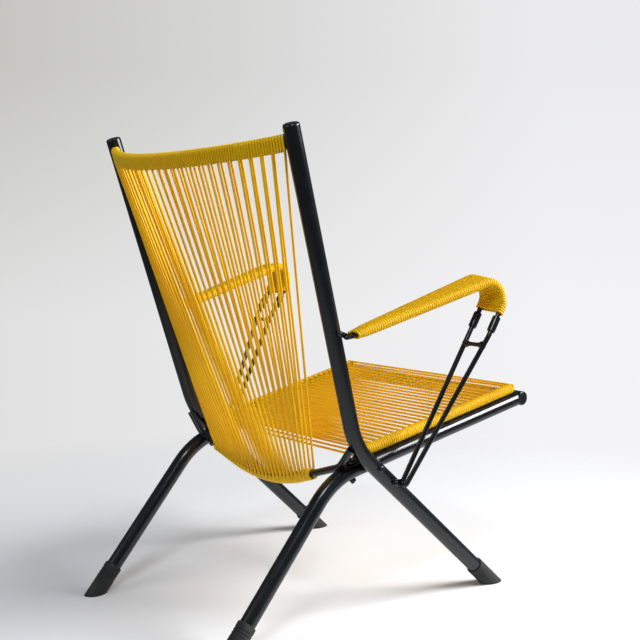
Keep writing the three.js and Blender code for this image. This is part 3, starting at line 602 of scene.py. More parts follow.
half_span = top_half_angle - TOP_BAR_LET_IN_SHARE * tube_radius / top_radius
outline = flat_bar_outline(TOP_BAR_CORNER, TOP_BAR_THICKNESS / 2, TOP_BAR_HEIGHT / 2)
rings = [
    [by_top_bar(half_span * (2 * k / TOP_BAR_STEPS - 1), behind, height) for behind, height in outline]
    for k in range(TOP_BAR_STEPS + 1)
]
skin("back_top_bar", rings, enamel, stands_for=["back_top_rail"], sharp=60)
bar("back_lower_bar", lower_line, BACK_ROD / 2, enamel, sides=32, stands_for=["back_lower_rail"])

# %% [markdown]
# Each seat rod runs above its rail, one cord's thickness away, so that the cord can pass between.
# At the front it turns down onto the rail; at the rear its end is pressed flat and bolted on. A tab
# could be joined to a round bar, but a pressed end swells out of the rod, so the rod is one skin whose
# rings change from round to flat.

# %% Seat rods with their flattened ends
CORD = 4.8
SEAT_ROD_FRONT_SETBACK = 15
SEAT_ROD_FRONT_BEND = 8
SEAT_ROD_FOOT_SHARE = 0.9
SEAT_ROD_REAR_BEND = 7
SEAT_ROD_REAR_KNEE = 6
SEAT_ROD_TAB_RUN = 11.5
SEAT_ROD_PRESSED = 28
SEAT_ROD_FINE_RUN = 30
SEAT_ROD_FINE_STEP = 0.8
RAIL_BOLT_AHEAD_OF_BEND = 44
TAB_THICKNESS = 4
SEAT_TAB_WIDTH = 17
PRESS_EASE_SHARE = 0.35
PRESSED_SQUARENESS = 0.55
PRESSED_TIP_SHARE = 0.05
PRESSED_SIDES = 32

seat_lift = clear_radius + CORD + FIT_GAP + SEAT_ROD / 2
seat_rod_foot = tube_radius * SEAT_ROD_FOOT_SHARE
tab_middle = clear_radius + TAB_THICKNESS / 2
rail_bolt_y = rear_bend_y - RAIL_BOLT_AHEAD_OF_BEND
seat_rod_front_y = cross_tube_y + SEAT_ROD_FRONT_SETBACK
seat_rod_knee_y = rail_bolt_y - SEAT_ROD_TAB_RUN - SEAT_ROD_REAR_KNEE


def eased(share):
    """A share kept between 0 and 1 that starts and stops softly."""
    share = max(0.0, min(1.0, share))
    return share * share * (3 - 2 * share)


def superellipse(centre, side_way, up_way, half_width, half_height, power):
    ring = []
    for k in range(PRESSED_SIDES):
        angle = 2 * pi * k / PRESSED_SIDES
        c, s = cos(angle), sin(angle)
        beside = half_width * copysign(abs(c) ** power, c)
        over = half_height * copysign(abs(s) ** power, s)
        ring.append(centre + side_way * beside + up_way * over)
    return ring


def pressed_rod(name, line, radius, normal, width, thickness, press, stands_for):
    """A round rod whose last stretch is pressed flat: a round section that widens into a rounded tab."""
    total = line_length(line)
    rings = []
    run = 0.0
    for i, point in enumerate(line):
        if i:
            run += (point - line[i - 1]).length
        left = total - run
        flat = eased((press - left) / (press * PRESS_EASE_SHARE))
        tip = max(0.0, 1 - left / (width / 2))
        round_end = max(sqrt(max(0.0, 1 - tip * tip)), PRESSED_TIP_SHARE)
        half_width = (radius + (width / 2 - radius) * flat) * round_end
        half_height = radius + (thickness / 2 - radius) * flat
        way = (line[min(i + 1, len(line) - 1)] - line[max(i - 1, 0)]).normalized()
        side_way = way.cross(normal).normalized()
        power = 1 - PRESSED_SQUARENESS * flat
        rings.append(superellipse(point, side_way, side_way.cross(way), half_width, half_height, power))
    return skin(name, rings, enamel, stands_for=stands_for, sharp=60)


def finely(points, step):
    """The same line with a station at least every step."""
    fine = [points[0]]
    for a, b in zip(points, points[1:]):
        pieces = max(1, ceil((b - a).length / step))
        fine += [a.lerp(b, k / pieces) for k in range(1, pieces + 1)]
    return fine


for side, sign in SIDES.items():
    corners = [
        rail_axis(sign, seat_rod_front_y, seat_rod_foot),
        rail_axis(sign, seat_rod_front_y, seat_lift),
        rail_axis(sign, seat_rod_knee_y, seat_lift),
        rail_axis(sign, rail_bolt_y - SEAT_ROD_TAB_RUN, tab_middle),
        rail_axis(sign, rail_bolt_y + SEAT_TAB_WIDTH / 2, tab_middle),
    ]
    line = bent_line(corners, [SEAT_ROD_FRONT_BEND, SEAT_ROD_REAR_BEND, SEAT_ROD_REAR_BEND])
    fine_from = seat_rod_knee_y - SEAT_ROD_FINE_RUN
    rear = [p for p in line if p.y > fine_from]
    line = [p for p in line if p.y <= fine_from] + finely(rear, SEAT_ROD_FINE_STEP)
    pressed_rod(f"seat_bar_{side}", line, SEAT_ROD / 2, rail_normal, SEAT_TAB_WIDTH, TAB_THICKNESS,
                SEAT_ROD_PRESSED, [f"seat_rod_{side}"])

# %% [markdown]
# Screws and bolts fix the places of the armrests and struts, so their places come before them.

# %% Screws and bolts: where each one stands, and the way its head faces
ARM_SCREW_RISE = 210.6
STRUT_SCREW_DROP = 72


def outward_from(sign, way):
    out = Vector((sign, 0, 0))
    return (out - way * out.dot(way)).normalized()


def frame_bolt(sign):
    return crossing(sign), outward_from(sign, front_leg_way(sign))


def rail_bolt(sign):
    return rail_axis(sign, rail_bolt_y), rail_normal


def arm_screw(sign):
    return post_axis(sign, BEND_HEIGHT + ARM_SCREW_RISE), outward_from(sign, post_way(sign))


def strut_screw(sign):
    return front_leg_axis(sign, BEND_HEIGHT - STRUT_SCREW_DROP), outward_from(sign, front_leg_way(sign))


# %% [markdown]
# The armrests are one 9 mm rod each, bent into a long loop that is closed at the rear, run forward and
# rolled over a nose at the front, down into two couplings. The strut below is a second bent rod, a
# hairpin with a small bridge, screwed to the front leg. Both legs follow one rule with other sizes, so
# a table holds the sizes and the places are worked out once.

# %% Armrest and strut places
ARM_PITCH = radians(15.5)
ARM_REAR_RISE = 205
ARM_REAR_BEHIND = 44
ARM_NOSE_RADIUS = 31
ARM_FRONT_RAKE = radians(34.8)
ARM_ROD_LET_INTO_TAB = 1.4
COUPLING_DIAMETER = 15
COUPLING_LENGTH = 30
STRUT_BRIDGE_RISE = 170
STRUT_BEND_RADIUS = 45
STRUT_LOOP_AHEAD = 95.4
STRUT_LOOP_DROP = 71
STRUT_ROD_LET_INTO_TAB = 3
# rear and loop: how far outside the inner rod. front, ahead and drop: the nose's half width, its place
# ahead of the bend, and how much lower it is. coupling and bend: their heights above the post's bend.
ARM_RODS = {
    "inner": dict(rear=0, loop=0, front=284.3, ahead=333, drop=0, coupling=211.2, bend=170.5),
    "outer": dict(rear=11, loop=11.9, front=331.8, ahead=327, drop=5, coupling=207, bend=186),
}
inner, outer = ARM_RODS.values()


def on_tab_outside(axis, let_in):
    return axis.x + clear_radius + TAB_THICKNESS + ARM_ROD / 2 - let_in


arm_rear_half = on_tab_outside(arm_screw(1)[0], ARM_ROD_LET_INTO_TAB)
strut_loop_half = on_tab_outside(strut_screw(1)[0], STRUT_ROD_LET_INTO_TAB)
arm_way = Vector((0, -cos(ARM_PITCH), sin(ARM_PITCH)))
arm_square = arm_way.cross(X_AXIS).normalized()
arm_front_way = Vector((0, sin(ARM_FRONT_RAKE), -cos(ARM_FRONT_RAKE)))


def arm_rear(sign, rod):
    return place(sign * (arm_rear_half + rod["rear"]), ARM_REAR_BEHIND, BEND_HEIGHT + ARM_REAR_RISE)


def arm_vertex(sign, rod):
    climb = (ARM_REAR_BEHIND + rod["ahead"]) * tan(ARM_PITCH)
    height = BEND_HEIGHT + ARM_REAR_RISE + climb - rod["drop"]
    return place(sign * rod["front"], -rod["ahead"], height)


def arm_front(sign, rod, which):
    """Where the raked line below the nose reaches the coupling or the strut's bend."""
    vertex = arm_vertex(sign, rod)
    return vertex + arm_front_way * ((BEND_HEIGHT + rod[which] - vertex.z) / arm_front_way.z)


def arm_leg(sign, rod):
    """From the coupling up over the nose and back to the rear loop."""
    corners = [arm_front(sign, rod, "coupling"), arm_vertex(sign, rod), arm_rear(sign, rod)]
    return bent_line(corners, [ARM_NOSE_RADIUS])


def strut_loop_point(sign, rod):
    half_width = strut_loop_half + rod["loop"]
    return place(sign * half_width, -STRUT_LOOP_AHEAD, BEND_HEIGHT - STRUT_LOOP_DROP)


def strut_bend(sign, rod):
    return arm_front(sign, rod, "bend")


def bridge_end(sign, rod):
    bend = strut_bend(sign, rod)
    loop = strut_loop_point(sign, rod)
    return bend.lerp(loop, (bend.z - BEND_HEIGHT - STRUT_BRIDGE_RISE) / (bend.z - loop.z))


def strut_leg(sign, rod):
    corners = [arm_front(sign, rod, "coupling"), strut_bend(sign, rod), strut_loop_point(sign, rod)]
    return bent_line(corners, [STRUT_BEND_RADIUS])


def end_loop(start, stop, beyond, steps, stretch=1.0):
    """Half an ellipse from start to stop that bulges beyond them."""
    centre = (start + stop) / 2
    reach = (start - stop).length / 2
    side_way = (start - centre).normalized()
    loop = []
    for i in range(steps + 1):
        angle = pi * i / steps
        aside = side_way * (reach * cos(angle))
        loop.append(centre + aside + beyond * (reach * stretch * sin(angle)))
    return loop


# %% [markdown]
# At the rear the armrest's loop is drawn out and pressed thin, with a web between its two rods and a tab
# on edge at the post. The rod is swept round first, and then its points are moved towards the plane of
# the loop, as a press would do it.

# %% Armrest hoops
ARM_TAB_WIDTH = 9.6
STRUT_TAB_WIDTH = 13
LOOP_PRESSED = 0.55
LOOP_PRESSED_RUN = 34
LOOP_STRETCH = 2.2
LOOP_STEPS = 24
WEB_THICKNESS_SHARE = 0.8
WEB_STEPS = 12
TAB_SIDES = 48
ARM_ROD_SIDES = 28
TAB_EDGE = ((0, 0.6), (0.6, 0), (TAB_THICKNESS - 0.8, 0), (TAB_THICKNESS - 0.2, 0.3), (TAB_THICKNESS, 0.9))


def tab(name, start, stop, width, normal, lift):
    """A flat tab with round ends and eased edges, its underside a lift above the line from start to stop."""
    run = stop - start
    run -= normal * run.dot(normal)
    reach = run.length
    way = run.normalized()
    side_way = normal.cross(way)
    rings = []
    for height, inset in TAB_EDGE:
        half = width / 2 - inset
        ring = []
        for i in range(TAB_SIDES):
            angle = 2 * pi * (i + 0.5) / TAB_SIDES
            x = half * cos(angle) + (reach if cos(angle) > 0 else 0)
            ring.append(start + normal * (lift + height) + way * x + side_way * (half * sin(angle)))
        rings.append(ring)
    return skin(name, rings, enamel, sharp=60)


def looped_rod(name, sign, leg, loop):
    """A rod that runs along the inner leg, round the loop and back along the outer leg."""
    line = leg(sign, inner)[:-1] + loop + leg(sign, outer)[-2::-1]
    return bar(name, line, ARM_ROD / 2, enamel, sides=ARM_ROD_SIDES)


def pressed_share(ahead):
    """How much of the full pressing is left a given length ahead of the loop."""
    return eased(1 - ahead / LOOP_PRESSED_RUN)


def press_loop(rod, rear):
    for vertex in rod.data.vertices:
        offset = vertex.co / MM - rear
        share = (1 - LOOP_PRESSED) * pressed_share(offset.dot(arm_way))
        vertex.co -= arm_square * (offset.dot(arm_square) * share * MM)


def loop_web(sign):
    first, last = arm_rear(sign, inner), arm_rear(sign, outer)
    half = ARM_ROD * LOOP_PRESSED * WEB_THICKNESS_SHARE / 2
    ahead = arm_way * LOOP_PRESSED_RUN
    edge = end_loop(first, last, -arm_way, WEB_STEPS, LOOP_STRETCH) + [last + ahead, first + ahead]
    rings = [[point + arm_square * lift for point in edge] for lift in (-half, half)]
    return skin("web", rings, enamel, sharp=60)


for side, sign in SIDES.items():
    loop = end_loop(arm_rear(sign, inner), arm_rear(sign, outer), -arm_way, LOOP_STEPS, LOOP_STRETCH)
    rod = looped_rod("hoop", sign, arm_leg, loop)
    press_loop(rod, arm_rear(sign, inner))
    at, out = arm_screw(sign)
    tab_end = arm_rear(sign, inner) - arm_way * (ARM_ROD / 2)
    arm_tab = tab("hoop_tab", at, tab_end, ARM_TAB_WIDTH, out, clear_radius)
    joined(f"arm_loop_{side}", [rod, loop_web(sign), arm_tab], enamel, stands_for=[f"arm_hoop_{side}"])

# %% Struts, each with a bridge that is filleted into both legs
BRIDGE_FLARE = 3.6
BRIDGE_FILLET = 11
BRIDGE_ROD_SHARE = 0.86
BRIDGE_STEPS = 40
BRIDGE_SIDES = 24
STRUT_LOOP_STEPS = 16


def bridge_between(start, stop):
    """A thin rod whose ends flare out into the legs, as a brazed fillet does."""
    span = (stop - start).length
    rings = []
    for k in range(BRIDGE_STEPS + 1):
        share = k / BRIDGE_STEPS
        from_end = min(share, 1 - share) * span - ARM_ROD / 2
        flare = BRIDGE_FLARE * max(0.0, 1 - max(from_end, 0) / BRIDGE_FILLET) ** 2
        radius = ARM_ROD / 2 * BRIDGE_ROD_SHARE + flare
        rings.append(round_ring(start.lerp(stop, share), stop - start, radius, BRIDGE_SIDES))
    return skin("bridge", rings, enamel)


for side, sign in SIDES.items():
    first, last = strut_loop_point(sign, inner), strut_loop_point(sign, outer)
    way = first - strut_bend(sign, inner)
    way.x = 0
    loop = end_loop(first, last, way.normalized(), STRUT_LOOP_STEPS)
    rod = looped_rod("hairpin", sign, strut_leg, loop)
    at, out = strut_screw(sign)
    tab_end = first + front_leg_way(sign) * (ARM_ROD / 2)
    foot_tab = tab("strut_tab", at, tab_end, STRUT_TAB_WIDTH, out, clear_radius)
    bridge = bridge_between(bridge_end(sign, inner), bridge_end(sign, outer))
    joined(f"arm_hairpin_{side}", [rod, foot_tab, bridge], enamel, stands_for=[f"arm_strut_{side}"])

# %% Couplings: blunt sleeves whose rims are only just eased
COUPLING_RIM = 0.5
COUPLING_BORE_GAP = 0.15

for side, sign in SIDES.items():
    for which, rod in ARM_RODS.items():
        half, wide, bore = COUPLING_LENGTH / 2, COUPLING_DIAMETER / 2, ARM_ROD / 2 + COUPLING_BORE_GAP
        profile = [
            (bore, -half), (wide - COUPLING_RIM, -half), (wide, -half + COUPLING_RIM),
            (wide, half - COUPLING_RIM), (wide - COUPLING_RIM, half), (bore, half),
        ]
        centre = arm_front(sign, rod, "coupling")
        turned(f"coupling_{which}_{side}", profile, centre, arm_front_way, enamel, closed=True,
               stands_for=[f"arm_coupling_{which}_{side}"])

# %% [markdown]
# Small fittings, first the moulded ones: caps on the posts, plugs in the front tube, and rubber tips on
# the legs. All are turned. A leg stands at a slant, so its tip is made too long and then cut off level
# by the floor's plane, as it would be ground off on the real chair.

# %% Caps, plugs and rubber tips
CAP_DOME = 6
CAP_SEAM = 0.5
CAP_SQUARENESS = 0.7
PLUG_LENGTH = 18
PLUG_WALL = 2
FOOT_DIAMETER = 34
FOOT_SLEEVE = 34
FOOT_BELOW_END = 60
FOOT_EASE = 2
FOOT_RIBS = (9, 15, 21)
FOOT_RIB_DEPTH = 0.7
FOOT_RIB_HALF_WIDTH = 1.6


def dome_profile(radius, height, foot, squareness, steps=14):
    """From the rim to the crown of a soft dome."""
    profile = []
    for k in range(steps + 1):
        angle = pi / 2 * k / steps
        level = foot + height * sin(angle) ** squareness
        profile.append((radius * cos(angle) ** squareness, level))
    return profile


def tube_plug(name, end, way, dome, stands_for):
    """A plug in the tube's bore whose soft dome is as wide as the tube; a fine seam shows between them."""
    plug = tube_radius - PLUG_WALL
    profile = [(plug, -PLUG_LENGTH), (plug, CAP_SEAM / 2), (tube_radius - CAP_SEAM, CAP_SEAM / 2)]
    profile += dome_profile(tube_radius - CAP_SEAM / 4, dome - CAP_SEAM, CAP_SEAM, CAP_SQUARENESS)
    turned(name, profile, end, way, black_plastic, stands_for=stands_for)


def rubber_tip(name, end, up, stands_for):
    """A ribbed sleeve on a raked leg. Below the leg's end it runs on and is cut off level at the floor."""
    wide = FOOT_DIAMETER / 2
    profile = [(wide, -FOOT_BELOW_END)]
    for rib in FOOT_RIBS:
        for step in (-1, -0.5, 0.5, 1):
            depth = FOOT_RIB_DEPTH if abs(step) < 1 else 0
            profile.append((wide - depth, rib + step * FOOT_RIB_HALF_WIDTH))
    for inset, drop in ((0, 1), (0.3, 0.3), (0.9, 0)):
        profile.append((wide - inset * FOOT_EASE, FOOT_SLEEVE - drop * FOOT_EASE))
    profile.append((clear_radius, FOOT_SLEEVE))
    tip = turned(name, profile, end, up, black_rubber)
    mesh = bmesh.new()
    mesh.from_mesh(tip.data)
    everything = mesh.verts[:] + mesh.edges[:] + mesh.faces[:]
    ground = {"plane_co": (0, 0, 0), "plane_no": (0, 0, -1)}
    cut = bmesh.ops.bisect_plane(mesh, geom=everything, clear_outer=True, **ground)
    rim = [edge for edge in cut["geom_cut"] if isinstance(edge, bmesh.types.BMEdge)]
    bmesh.ops.edgeloop_fill(mesh, edges=rim)
    for edge in rim:
        edge.smooth = False
    mesh.to_mesh(tip.data)
    mesh.free()
    settle(tip, stands_for)


for side, sign in SIDES.items():
    tube_plug(f"post_end_cap_{side}", post_end(sign), post_way(sign), CAP_DOME, [f"post_cap_{side}"])
    tube_plug(f"front_tube_plug_{side}", cross_tube_end(sign), X_AXIS * sign, PLUG_DOME,
              [f"cross_tube_plug_{side}"])
for side, sign in SIDES.items():
    rubber_tip(f"front_tip_{side}", post_lines[sign][-1], -front_leg_way(sign), [f"front_foot_{side}"])
    rear_way = (rail_lines[sign][-1] - rail_lines[sign][-2]).normalized()
    rubber_tip(f"rear_tip_{side}", rail_lines[sign][-1], -rear_way, [f"rear_foot_{side}"])

# %% [markdown]
# Then the steel ones. A screw head is a dome with a slot. A boolean cut would leave long thin faces on
# the dome, so the rings close in on the slot's outline instead and then sink straight down. A nut is
# made of rings whose reach is the hexagon's, limited to a circle where its corners are turned off.

# %% Screws, bolts and nuts
BOLT_SHANK = 6.4
BOLT_HEAD = 12.8
BOLT_HEAD_HEIGHT = 5
SCREW_SHANK = 5
SCREW_HEAD = 9
SCREW_HEAD_HEIGHT = 3
SCREW_LENGTH = 14
SHANK_TIP_EASE = 0.5
HEAD_FOOT_EASE = 0.3
HEAD_FOOT_HEIGHT = 0.35
HEAD_RIM_SHARE = 0.28
HEAD_GAP = 0.1
HEAD_SIDES = 64
SLOT_WIDTH_SHARE = 0.14
SLOT_LENGTH_SHARE = 0.86
SLOT_DEPTH_SHARE = 0.42
SLOT_TAPER_SHARE = 0.97
SLOT_BLEND_SHARES = (0.75, 0.5, 0.3, 0.15, 0.05, 0.0)
SLOT_EDGE_DROP = 0.05
NUT_SIDES = 48
NUT_CHAMFERS = (0.7, 0.9)
NUT_BORE_GAPS = (0.2, 0.3, 0.1)
RAIL_NUT_BEND_GAP = 0.9


def slot_rings(seat, out, head, height):
    """Rings that close in on the slot's outline over the dome, then go down into the slot."""
    radius = head / 2
    floor_level = height * (1 - SLOT_DEPTH_SHARE)
    first, second = basis_for(out)

    def dome_level(reach):
        crown = sqrt(max(0.0, 1 - (reach / radius) ** 2))
        return height * (HEAD_RIM_SHARE + (1 - HEAD_RIM_SHARE) * crown)

    def floor_below(reach):
        return min(floor_level, dome_level(reach) - SLOT_EDGE_DROP)

    def slot_reach(angle):
        beside = max(abs(sin(angle)), TINY)
        return min(radius * SLOT_LENGTH_SHARE, head * SLOT_WIDTH_SHARE / 2 / beside)

    def ring(taper, blend, level_at):
        points = []
        for i in range(HEAD_SIDES):
            angle = 2 * pi * i / HEAD_SIDES
            slot = slot_reach(angle) * taper
            reach = slot + (radius - slot) * blend
            aside = first * (reach * cos(angle)) + second * (reach * sin(angle))
            points.append(seat + out * level_at(reach) + aside)
        return points

    rings = [ring(1, blend, dome_level) for blend in SLOT_BLEND_SHARES]
    rings.append(ring(SLOT_TAPER_SHARE, 0, floor_below))
    rings.append(round_ring(seat + out * floor_level, out, SLOT_EDGE_DROP, HEAD_SIDES))
    return rings


def domed_head(name, at, out, reach, shank, head, height, length, slotted, stands_for):
    """A shank with a domed head, whose underside is a reach from the place at."""
    out = out.normalized()
    seat = at + out * reach
    radius = head / 2
    profile = [
        (POINTED, -length), (shank / 2 - SHANK_TIP_EASE, -length), (shank / 2, -length + SHANK_TIP_EASE),
        (shank / 2, 0), (radius - HEAD_FOOT_EASE, 0), (radius, HEAD_FOOT_HEIGHT),
        (radius, height * HEAD_RIM_SHARE),
    ]
    if not slotted:
        dome = dome_profile(radius, height * (1 - HEAD_RIM_SHARE), height * HEAD_RIM_SHARE, 0.9, 10)
        profile += dome[1:-1]
    rings = [round_ring(seat + out * level, out, wide, HEAD_SIDES) for wide, level in profile]
    if slotted:
        rings += slot_rings(seat, out, head, height)
    return skin(name, rings, dark_steel, stands_for=stands_for, sharp=40)


def hex_nut(name, at, out, reach, stands_for):
    """A six-sided nut with its corners turned off, the bolt's end showing in its bore."""
    away = -out.normalized()
    seat = at + away * reach
    flat = BOLT_HEAD / 2 * cos(pi / 6)
    height = BOLT_HEAD_HEIGHT
    low, high = NUT_CHAMFERS
    mouth, top_mouth, bottom = (BOLT_SHANK / 2 + gap for gap in NUT_BORE_GAPS)

    def hexagon(limit):
        return lambda angle: min(flat / cos(angle % (pi / 3) - pi / 6), limit)

    rings = [round_ring(seat, away, mouth, NUT_SIDES)]
    for level, limit in ((0, flat), (low, BOLT_HEAD / 2), (height - high, BOLT_HEAD / 2), (height, flat)):
        rings.append(round_ring(seat + away * level, away, 0, NUT_SIDES, outline=hexagon(limit)))
    rings.append(round_ring(seat + away * height, away, top_mouth, NUT_SIDES))
    rings.append(round_ring(seat + away * (height - SHANK_TIP_EASE), away, bottom, NUT_SIDES))
    return skin(name, rings, dark_steel, closed=True, stands_for=stands_for, sharp=30)


on_tab = clear_radius + TAB_THICKNESS + HEAD_GAP
nut_and_end = FIT_GAP + 2 * BOLT_HEAD_HEIGHT
for side, sign in SIDES.items():
    at, out = frame_bolt(sign)
    domed_head(f"side_bolt_{side}", at, out, tube_radius + HEAD_GAP, BOLT_SHANK, BOLT_HEAD,
               BOLT_HEAD_HEIGHT, 2 * TUBE + nut_and_end, False, [f"frame_bolt_{side}"])
    hex_nut(f"side_nut_{side}", at, out, TUBE + FIT_GAP + clear_radius, [f"frame_nut_{side}"])
    at, out = rail_bolt(sign)
    domed_head(f"seat_bolt_{side}", at, out, on_tab, BOLT_SHANK, BOLT_HEAD,
               BOLT_HEAD_HEIGHT, TAB_THICKNESS + TUBE + nut_and_end, False, [f"rail_bolt_{side}"])
    hex_nut(f"seat_nut_{side}", at, out, clear_radius + RAIL_NUT_BEND_GAP, [f"rail_nut_{side}"])
    for piece, place_of in (("arm", arm_screw), ("strut", strut_screw)):
        at, out = place_of(sign)
        domed_head(f"{piece}_fixing_{side}", at, out, on_tab, SCREW_SHANK, SCREW_HEAD,
                   SCREW_HEAD_HEIGHT, SCREW_LENGTH, True, [f"{piece}_screw_{side}"])

# %% [markdown]
# The cord is the chair's character. It is one long run that goes over and under two bars, again and
# again, with extra turns on the bars that space its strands and hide the steel. It is strung tight, so
# nothing about it needs a cloth simulation. Each run is written as a formula: how many turns on each
# bar, how far apart, and where the strand leaves for the other.

# %% Helpers for wound cord
CORD_RADIUS = 2.3
CORD_SIDES = 12
CORD_TOUCH = 0.05
STEPS_PER_TURN = 22
STRAND_STEPS = 8
STRAND_WANDER = 0.45


def walker(line):
    """Gives the place on a line that lies a given length from its start, and the line's way there."""
    runs = [0.0]
    for a, b in zip(line, line[1:]):
        runs.append(runs[-1] + (b - a).length)

    def at(distance):
        for i in range(1, len(line)):
            if distance <= runs[i] or i == len(line) - 1:
                way = (line[i] - line[i - 1]).normalized()
                return line[i - 1] + way * (distance - runs[i - 1]), way
    return at, runs[-1]


def strand(start, stop, aside, drift):
    """The straight run between two bars, which wanders a little to one side."""
    bow = drift.uniform(-STRAND_WANDER, STRAND_WANDER)
    shares = [k / STRAND_STEPS for k in range(1, STRAND_STEPS)]
    return [start.lerp(stop, share) + aside * (bow * sin(pi * share)) for share in shares]


def cord(name, stations, stands_for, radius=CORD_RADIUS):
    print(f"{name}: {line_length(stations) / 1000:.2f} m of cord")
    return bar(name, stations, radius, cord_skin, sides=CORD_SIDES, stands_for=stands_for)


# %% [markdown]
# The seat. After one turn on the left rod the cord crosses above to the right rod, takes two and a half
# turns on the way down, crosses back below, and takes two and a half turns up again. Coils of
# neighbouring rounds touch, so the rods are covered from end to end, and every third coil sends a
# strand across. The first coils already lie on the rod's front bend.

# %% Seat cord
SEAT_ROUNDS = 27
SEAT_TURNS = 2.5
SEAT_COILS_PER_ROUND = 3
SEAT_FIRST_TURNS = 1
SEAT_CORD_REAR_MARGIN = 1
SEAT_FRONT_BEND_SHARE = 0.6

seat_rear = seat_rod_knee_y - SEAT_CORD_REAR_MARGIN
seat_wrap = SEAT_ROD / 2 + CORD_RADIUS + CORD_TOUCH
bend_left_over = SEAT_ROD_FRONT_BEND * (1 - SEAT_FRONT_BEND_SHARE * pi / 2)
seat_front_run = seat_lift - seat_rod_foot - bend_left_over
seat_walks = {}
for sign in SIDES.values():
    corners = [
        rail_axis(sign, seat_rod_front_y, seat_rod_foot),
        rail_axis(sign, seat_rod_front_y, seat_lift),
        rail_axis(sign, seat_rear, seat_lift),
    ]
    seat_walks[sign], seat_run = walker(bent_line(corners, [SEAT_ROD_FRONT_BEND]))
round_run = (seat_run - seat_front_run) / (SEAT_ROUNDS + 1 / SEAT_COILS_PER_ROUND)
coil_run = round_run / SEAT_COILS_PER_ROUND


def on_seat_rod(sign, along, turns):
    """Where the cord is on a rod; turns are counted from the outer side, upwards."""
    angle = 2 * pi * turns
    rod, way = seat_walks[sign](seat_front_run + along)
    aside = (X_AXIS - way * way.x).normalized()
    return rod + aside * (seat_wrap * cos(angle)) + aside.cross(way) * (seat_wrap * sin(angle))


def wound_on_seat(sign, begin, first, turns):
    steps = ceil(turns * STEPS_PER_TURN)
    done = [turns * k / steps for k in range(steps + 1)]
    return [on_seat_rod(sign, begin + coil_run * turn, first + turn) for turn in done]


drift = random.Random(11)
stations = wound_on_seat(1, 0, 0.25, SEAT_FIRST_TURNS)
for i in range(SEAT_ROUNDS):
    for sign, first, late in ((-1, 0.25, 0), (1, 0.75, 1 / 2)):
        wound = wound_on_seat(sign, round_run * (i + late), first, SEAT_TURNS)
        stations += strand(stations[-1], wound[0], Vector((0, 1, 0)), drift) + wound
cord("seat_stringing", stations, ["seat_cord"])
print("seat strands every", round(round_run, 2), "mm, coils every", round(coil_run, 2), "mm")

# %% [markdown]
# The back is strung the same way between its two bars. Both are curved, so the strands fan out
# towards the top: each one leaves the lower bar's curve and reaches the top bar's much wider one.
# A round takes three and a half turns on the top bar and one and a half on the lower one. Beside the
# near post the cord's tail makes one more turn, which closes the gap that the first strand leaves.

# %% Back cord: sizes and where a round begins on each bar
BACK_ROUNDS = 27
BACK_CORD_RADIUS = 2.26
TOP_COILS_PER_ROUND = 4
TOP_TURNS = 3.5
LOWER_TURNS = 1.5
LOWER_FIRST_TURNS = 1.25
LOWER_BEGIN_SHARE = 9 / 16
LOWER_TURN_SHARE = 1 / 2
CORD_RIGHT_SPAN = 136
CORD_LEFT_SPAN = 160
BARE_NEAR = 5
BARE_FAR = 4

top_from = -top_half_angle + (tube_radius + BARE_NEAR) / top_radius
top_to = top_half_angle - (tube_radius + BARE_FAR) / top_radius
top_rounds = BACK_ROUNDS - 1 + TOP_TURNS / TOP_COILS_PER_ROUND
lower_wrap = BACK_ROD / 2 + BACK_CORD_RADIUS + CORD_TOUCH
lower_stop = LOWER_BEGIN_SHARE + LOWER_TURNS * LOWER_TURN_SHARE
lower_start = lower_stop - 1 - LOWER_FIRST_TURNS * LOWER_TURN_SHARE


def top_angle(rounds):
    return top_from + (top_to - top_from) * rounds / top_rounds


def lower_reach(rounds):
    share = (rounds - lower_start) / (BACK_ROUNDS - 1 + lower_stop - lower_start)
    return -CORD_RIGHT_SPAN + (CORD_RIGHT_SPAN + CORD_LEFT_SPAN) * share


def back_lean(reach, angle):
    """How far the strand to the top bar leans back from the lower bar's own plane."""
    foot = by_lower_bar(reach, 0, 0)
    away = by_lower_bar(reach, 0, 1) - foot
    way = by_top_bar(angle, 0, 0) - foot
    return atan2(way.dot(lower_back), -way.dot(away))


# %% Back cord
HALF_TURN_FROM_SHARE = 0.3
TAIL_END_POINTS = 2


def top_wrap_turn():
    """One turn round the flat bar, from the foot of its front face, up, over and down behind."""
    half_thickness = TOP_BAR_THICKNESS / 2 + BACK_CORD_RADIUS
    half_height = TOP_BAR_HEIGHT / 2 + BACK_CORD_RADIUS
    order = flat_bar_outline(TOP_BAR_CORNER + BACK_CORD_RADIUS, half_thickness, half_height, 5)[::-1]
    first = [i for i, (behind, above) in enumerate(order) if behind < 0 and above < 0][-1]
    order = order[first:] + order[:first]
    run = [0.0]
    for a, b in zip(order, order[1:] + order[:1]):
        run.append(run[-1] + dist(a, b))
    return [(share / run[-1], spot) for share, spot in zip(run, order)]


turn = top_wrap_turn()
half_turn = next(
    share for share, (behind, above) in turn
    if behind > 0 and above < 0 and share > HALF_TURN_FROM_SHARE
)


def wound_on_lower(i, first_turn=0.0):
    """The turns that round i takes on the lower bar, before the strand that goes up in front."""
    steps = ceil(LOWER_TURNS * STEPS_PER_TURN)
    wound = []
    for k in range(steps + 1):
        turns = first_turn + (LOWER_TURNS - first_turn) * k / steps
        reach = lower_reach(i + LOWER_BEGIN_SHARE + turns * LOWER_TURN_SHARE)
        angle = 2 * pi * (turns - 1 / 4) + back_lean(reach, top_angle(i + 1))
        wound.append(by_lower_bar(reach, -lower_wrap * sin(angle), lower_wrap * cos(angle)))
    return wound


def coil_on_top(coil, points):
    """One coil on the top bar, counted from the near post's first strand."""
    return [by_top_bar(top_angle((coil + share) / TOP_COILS_PER_ROUND), *spot) for share, spot in points]


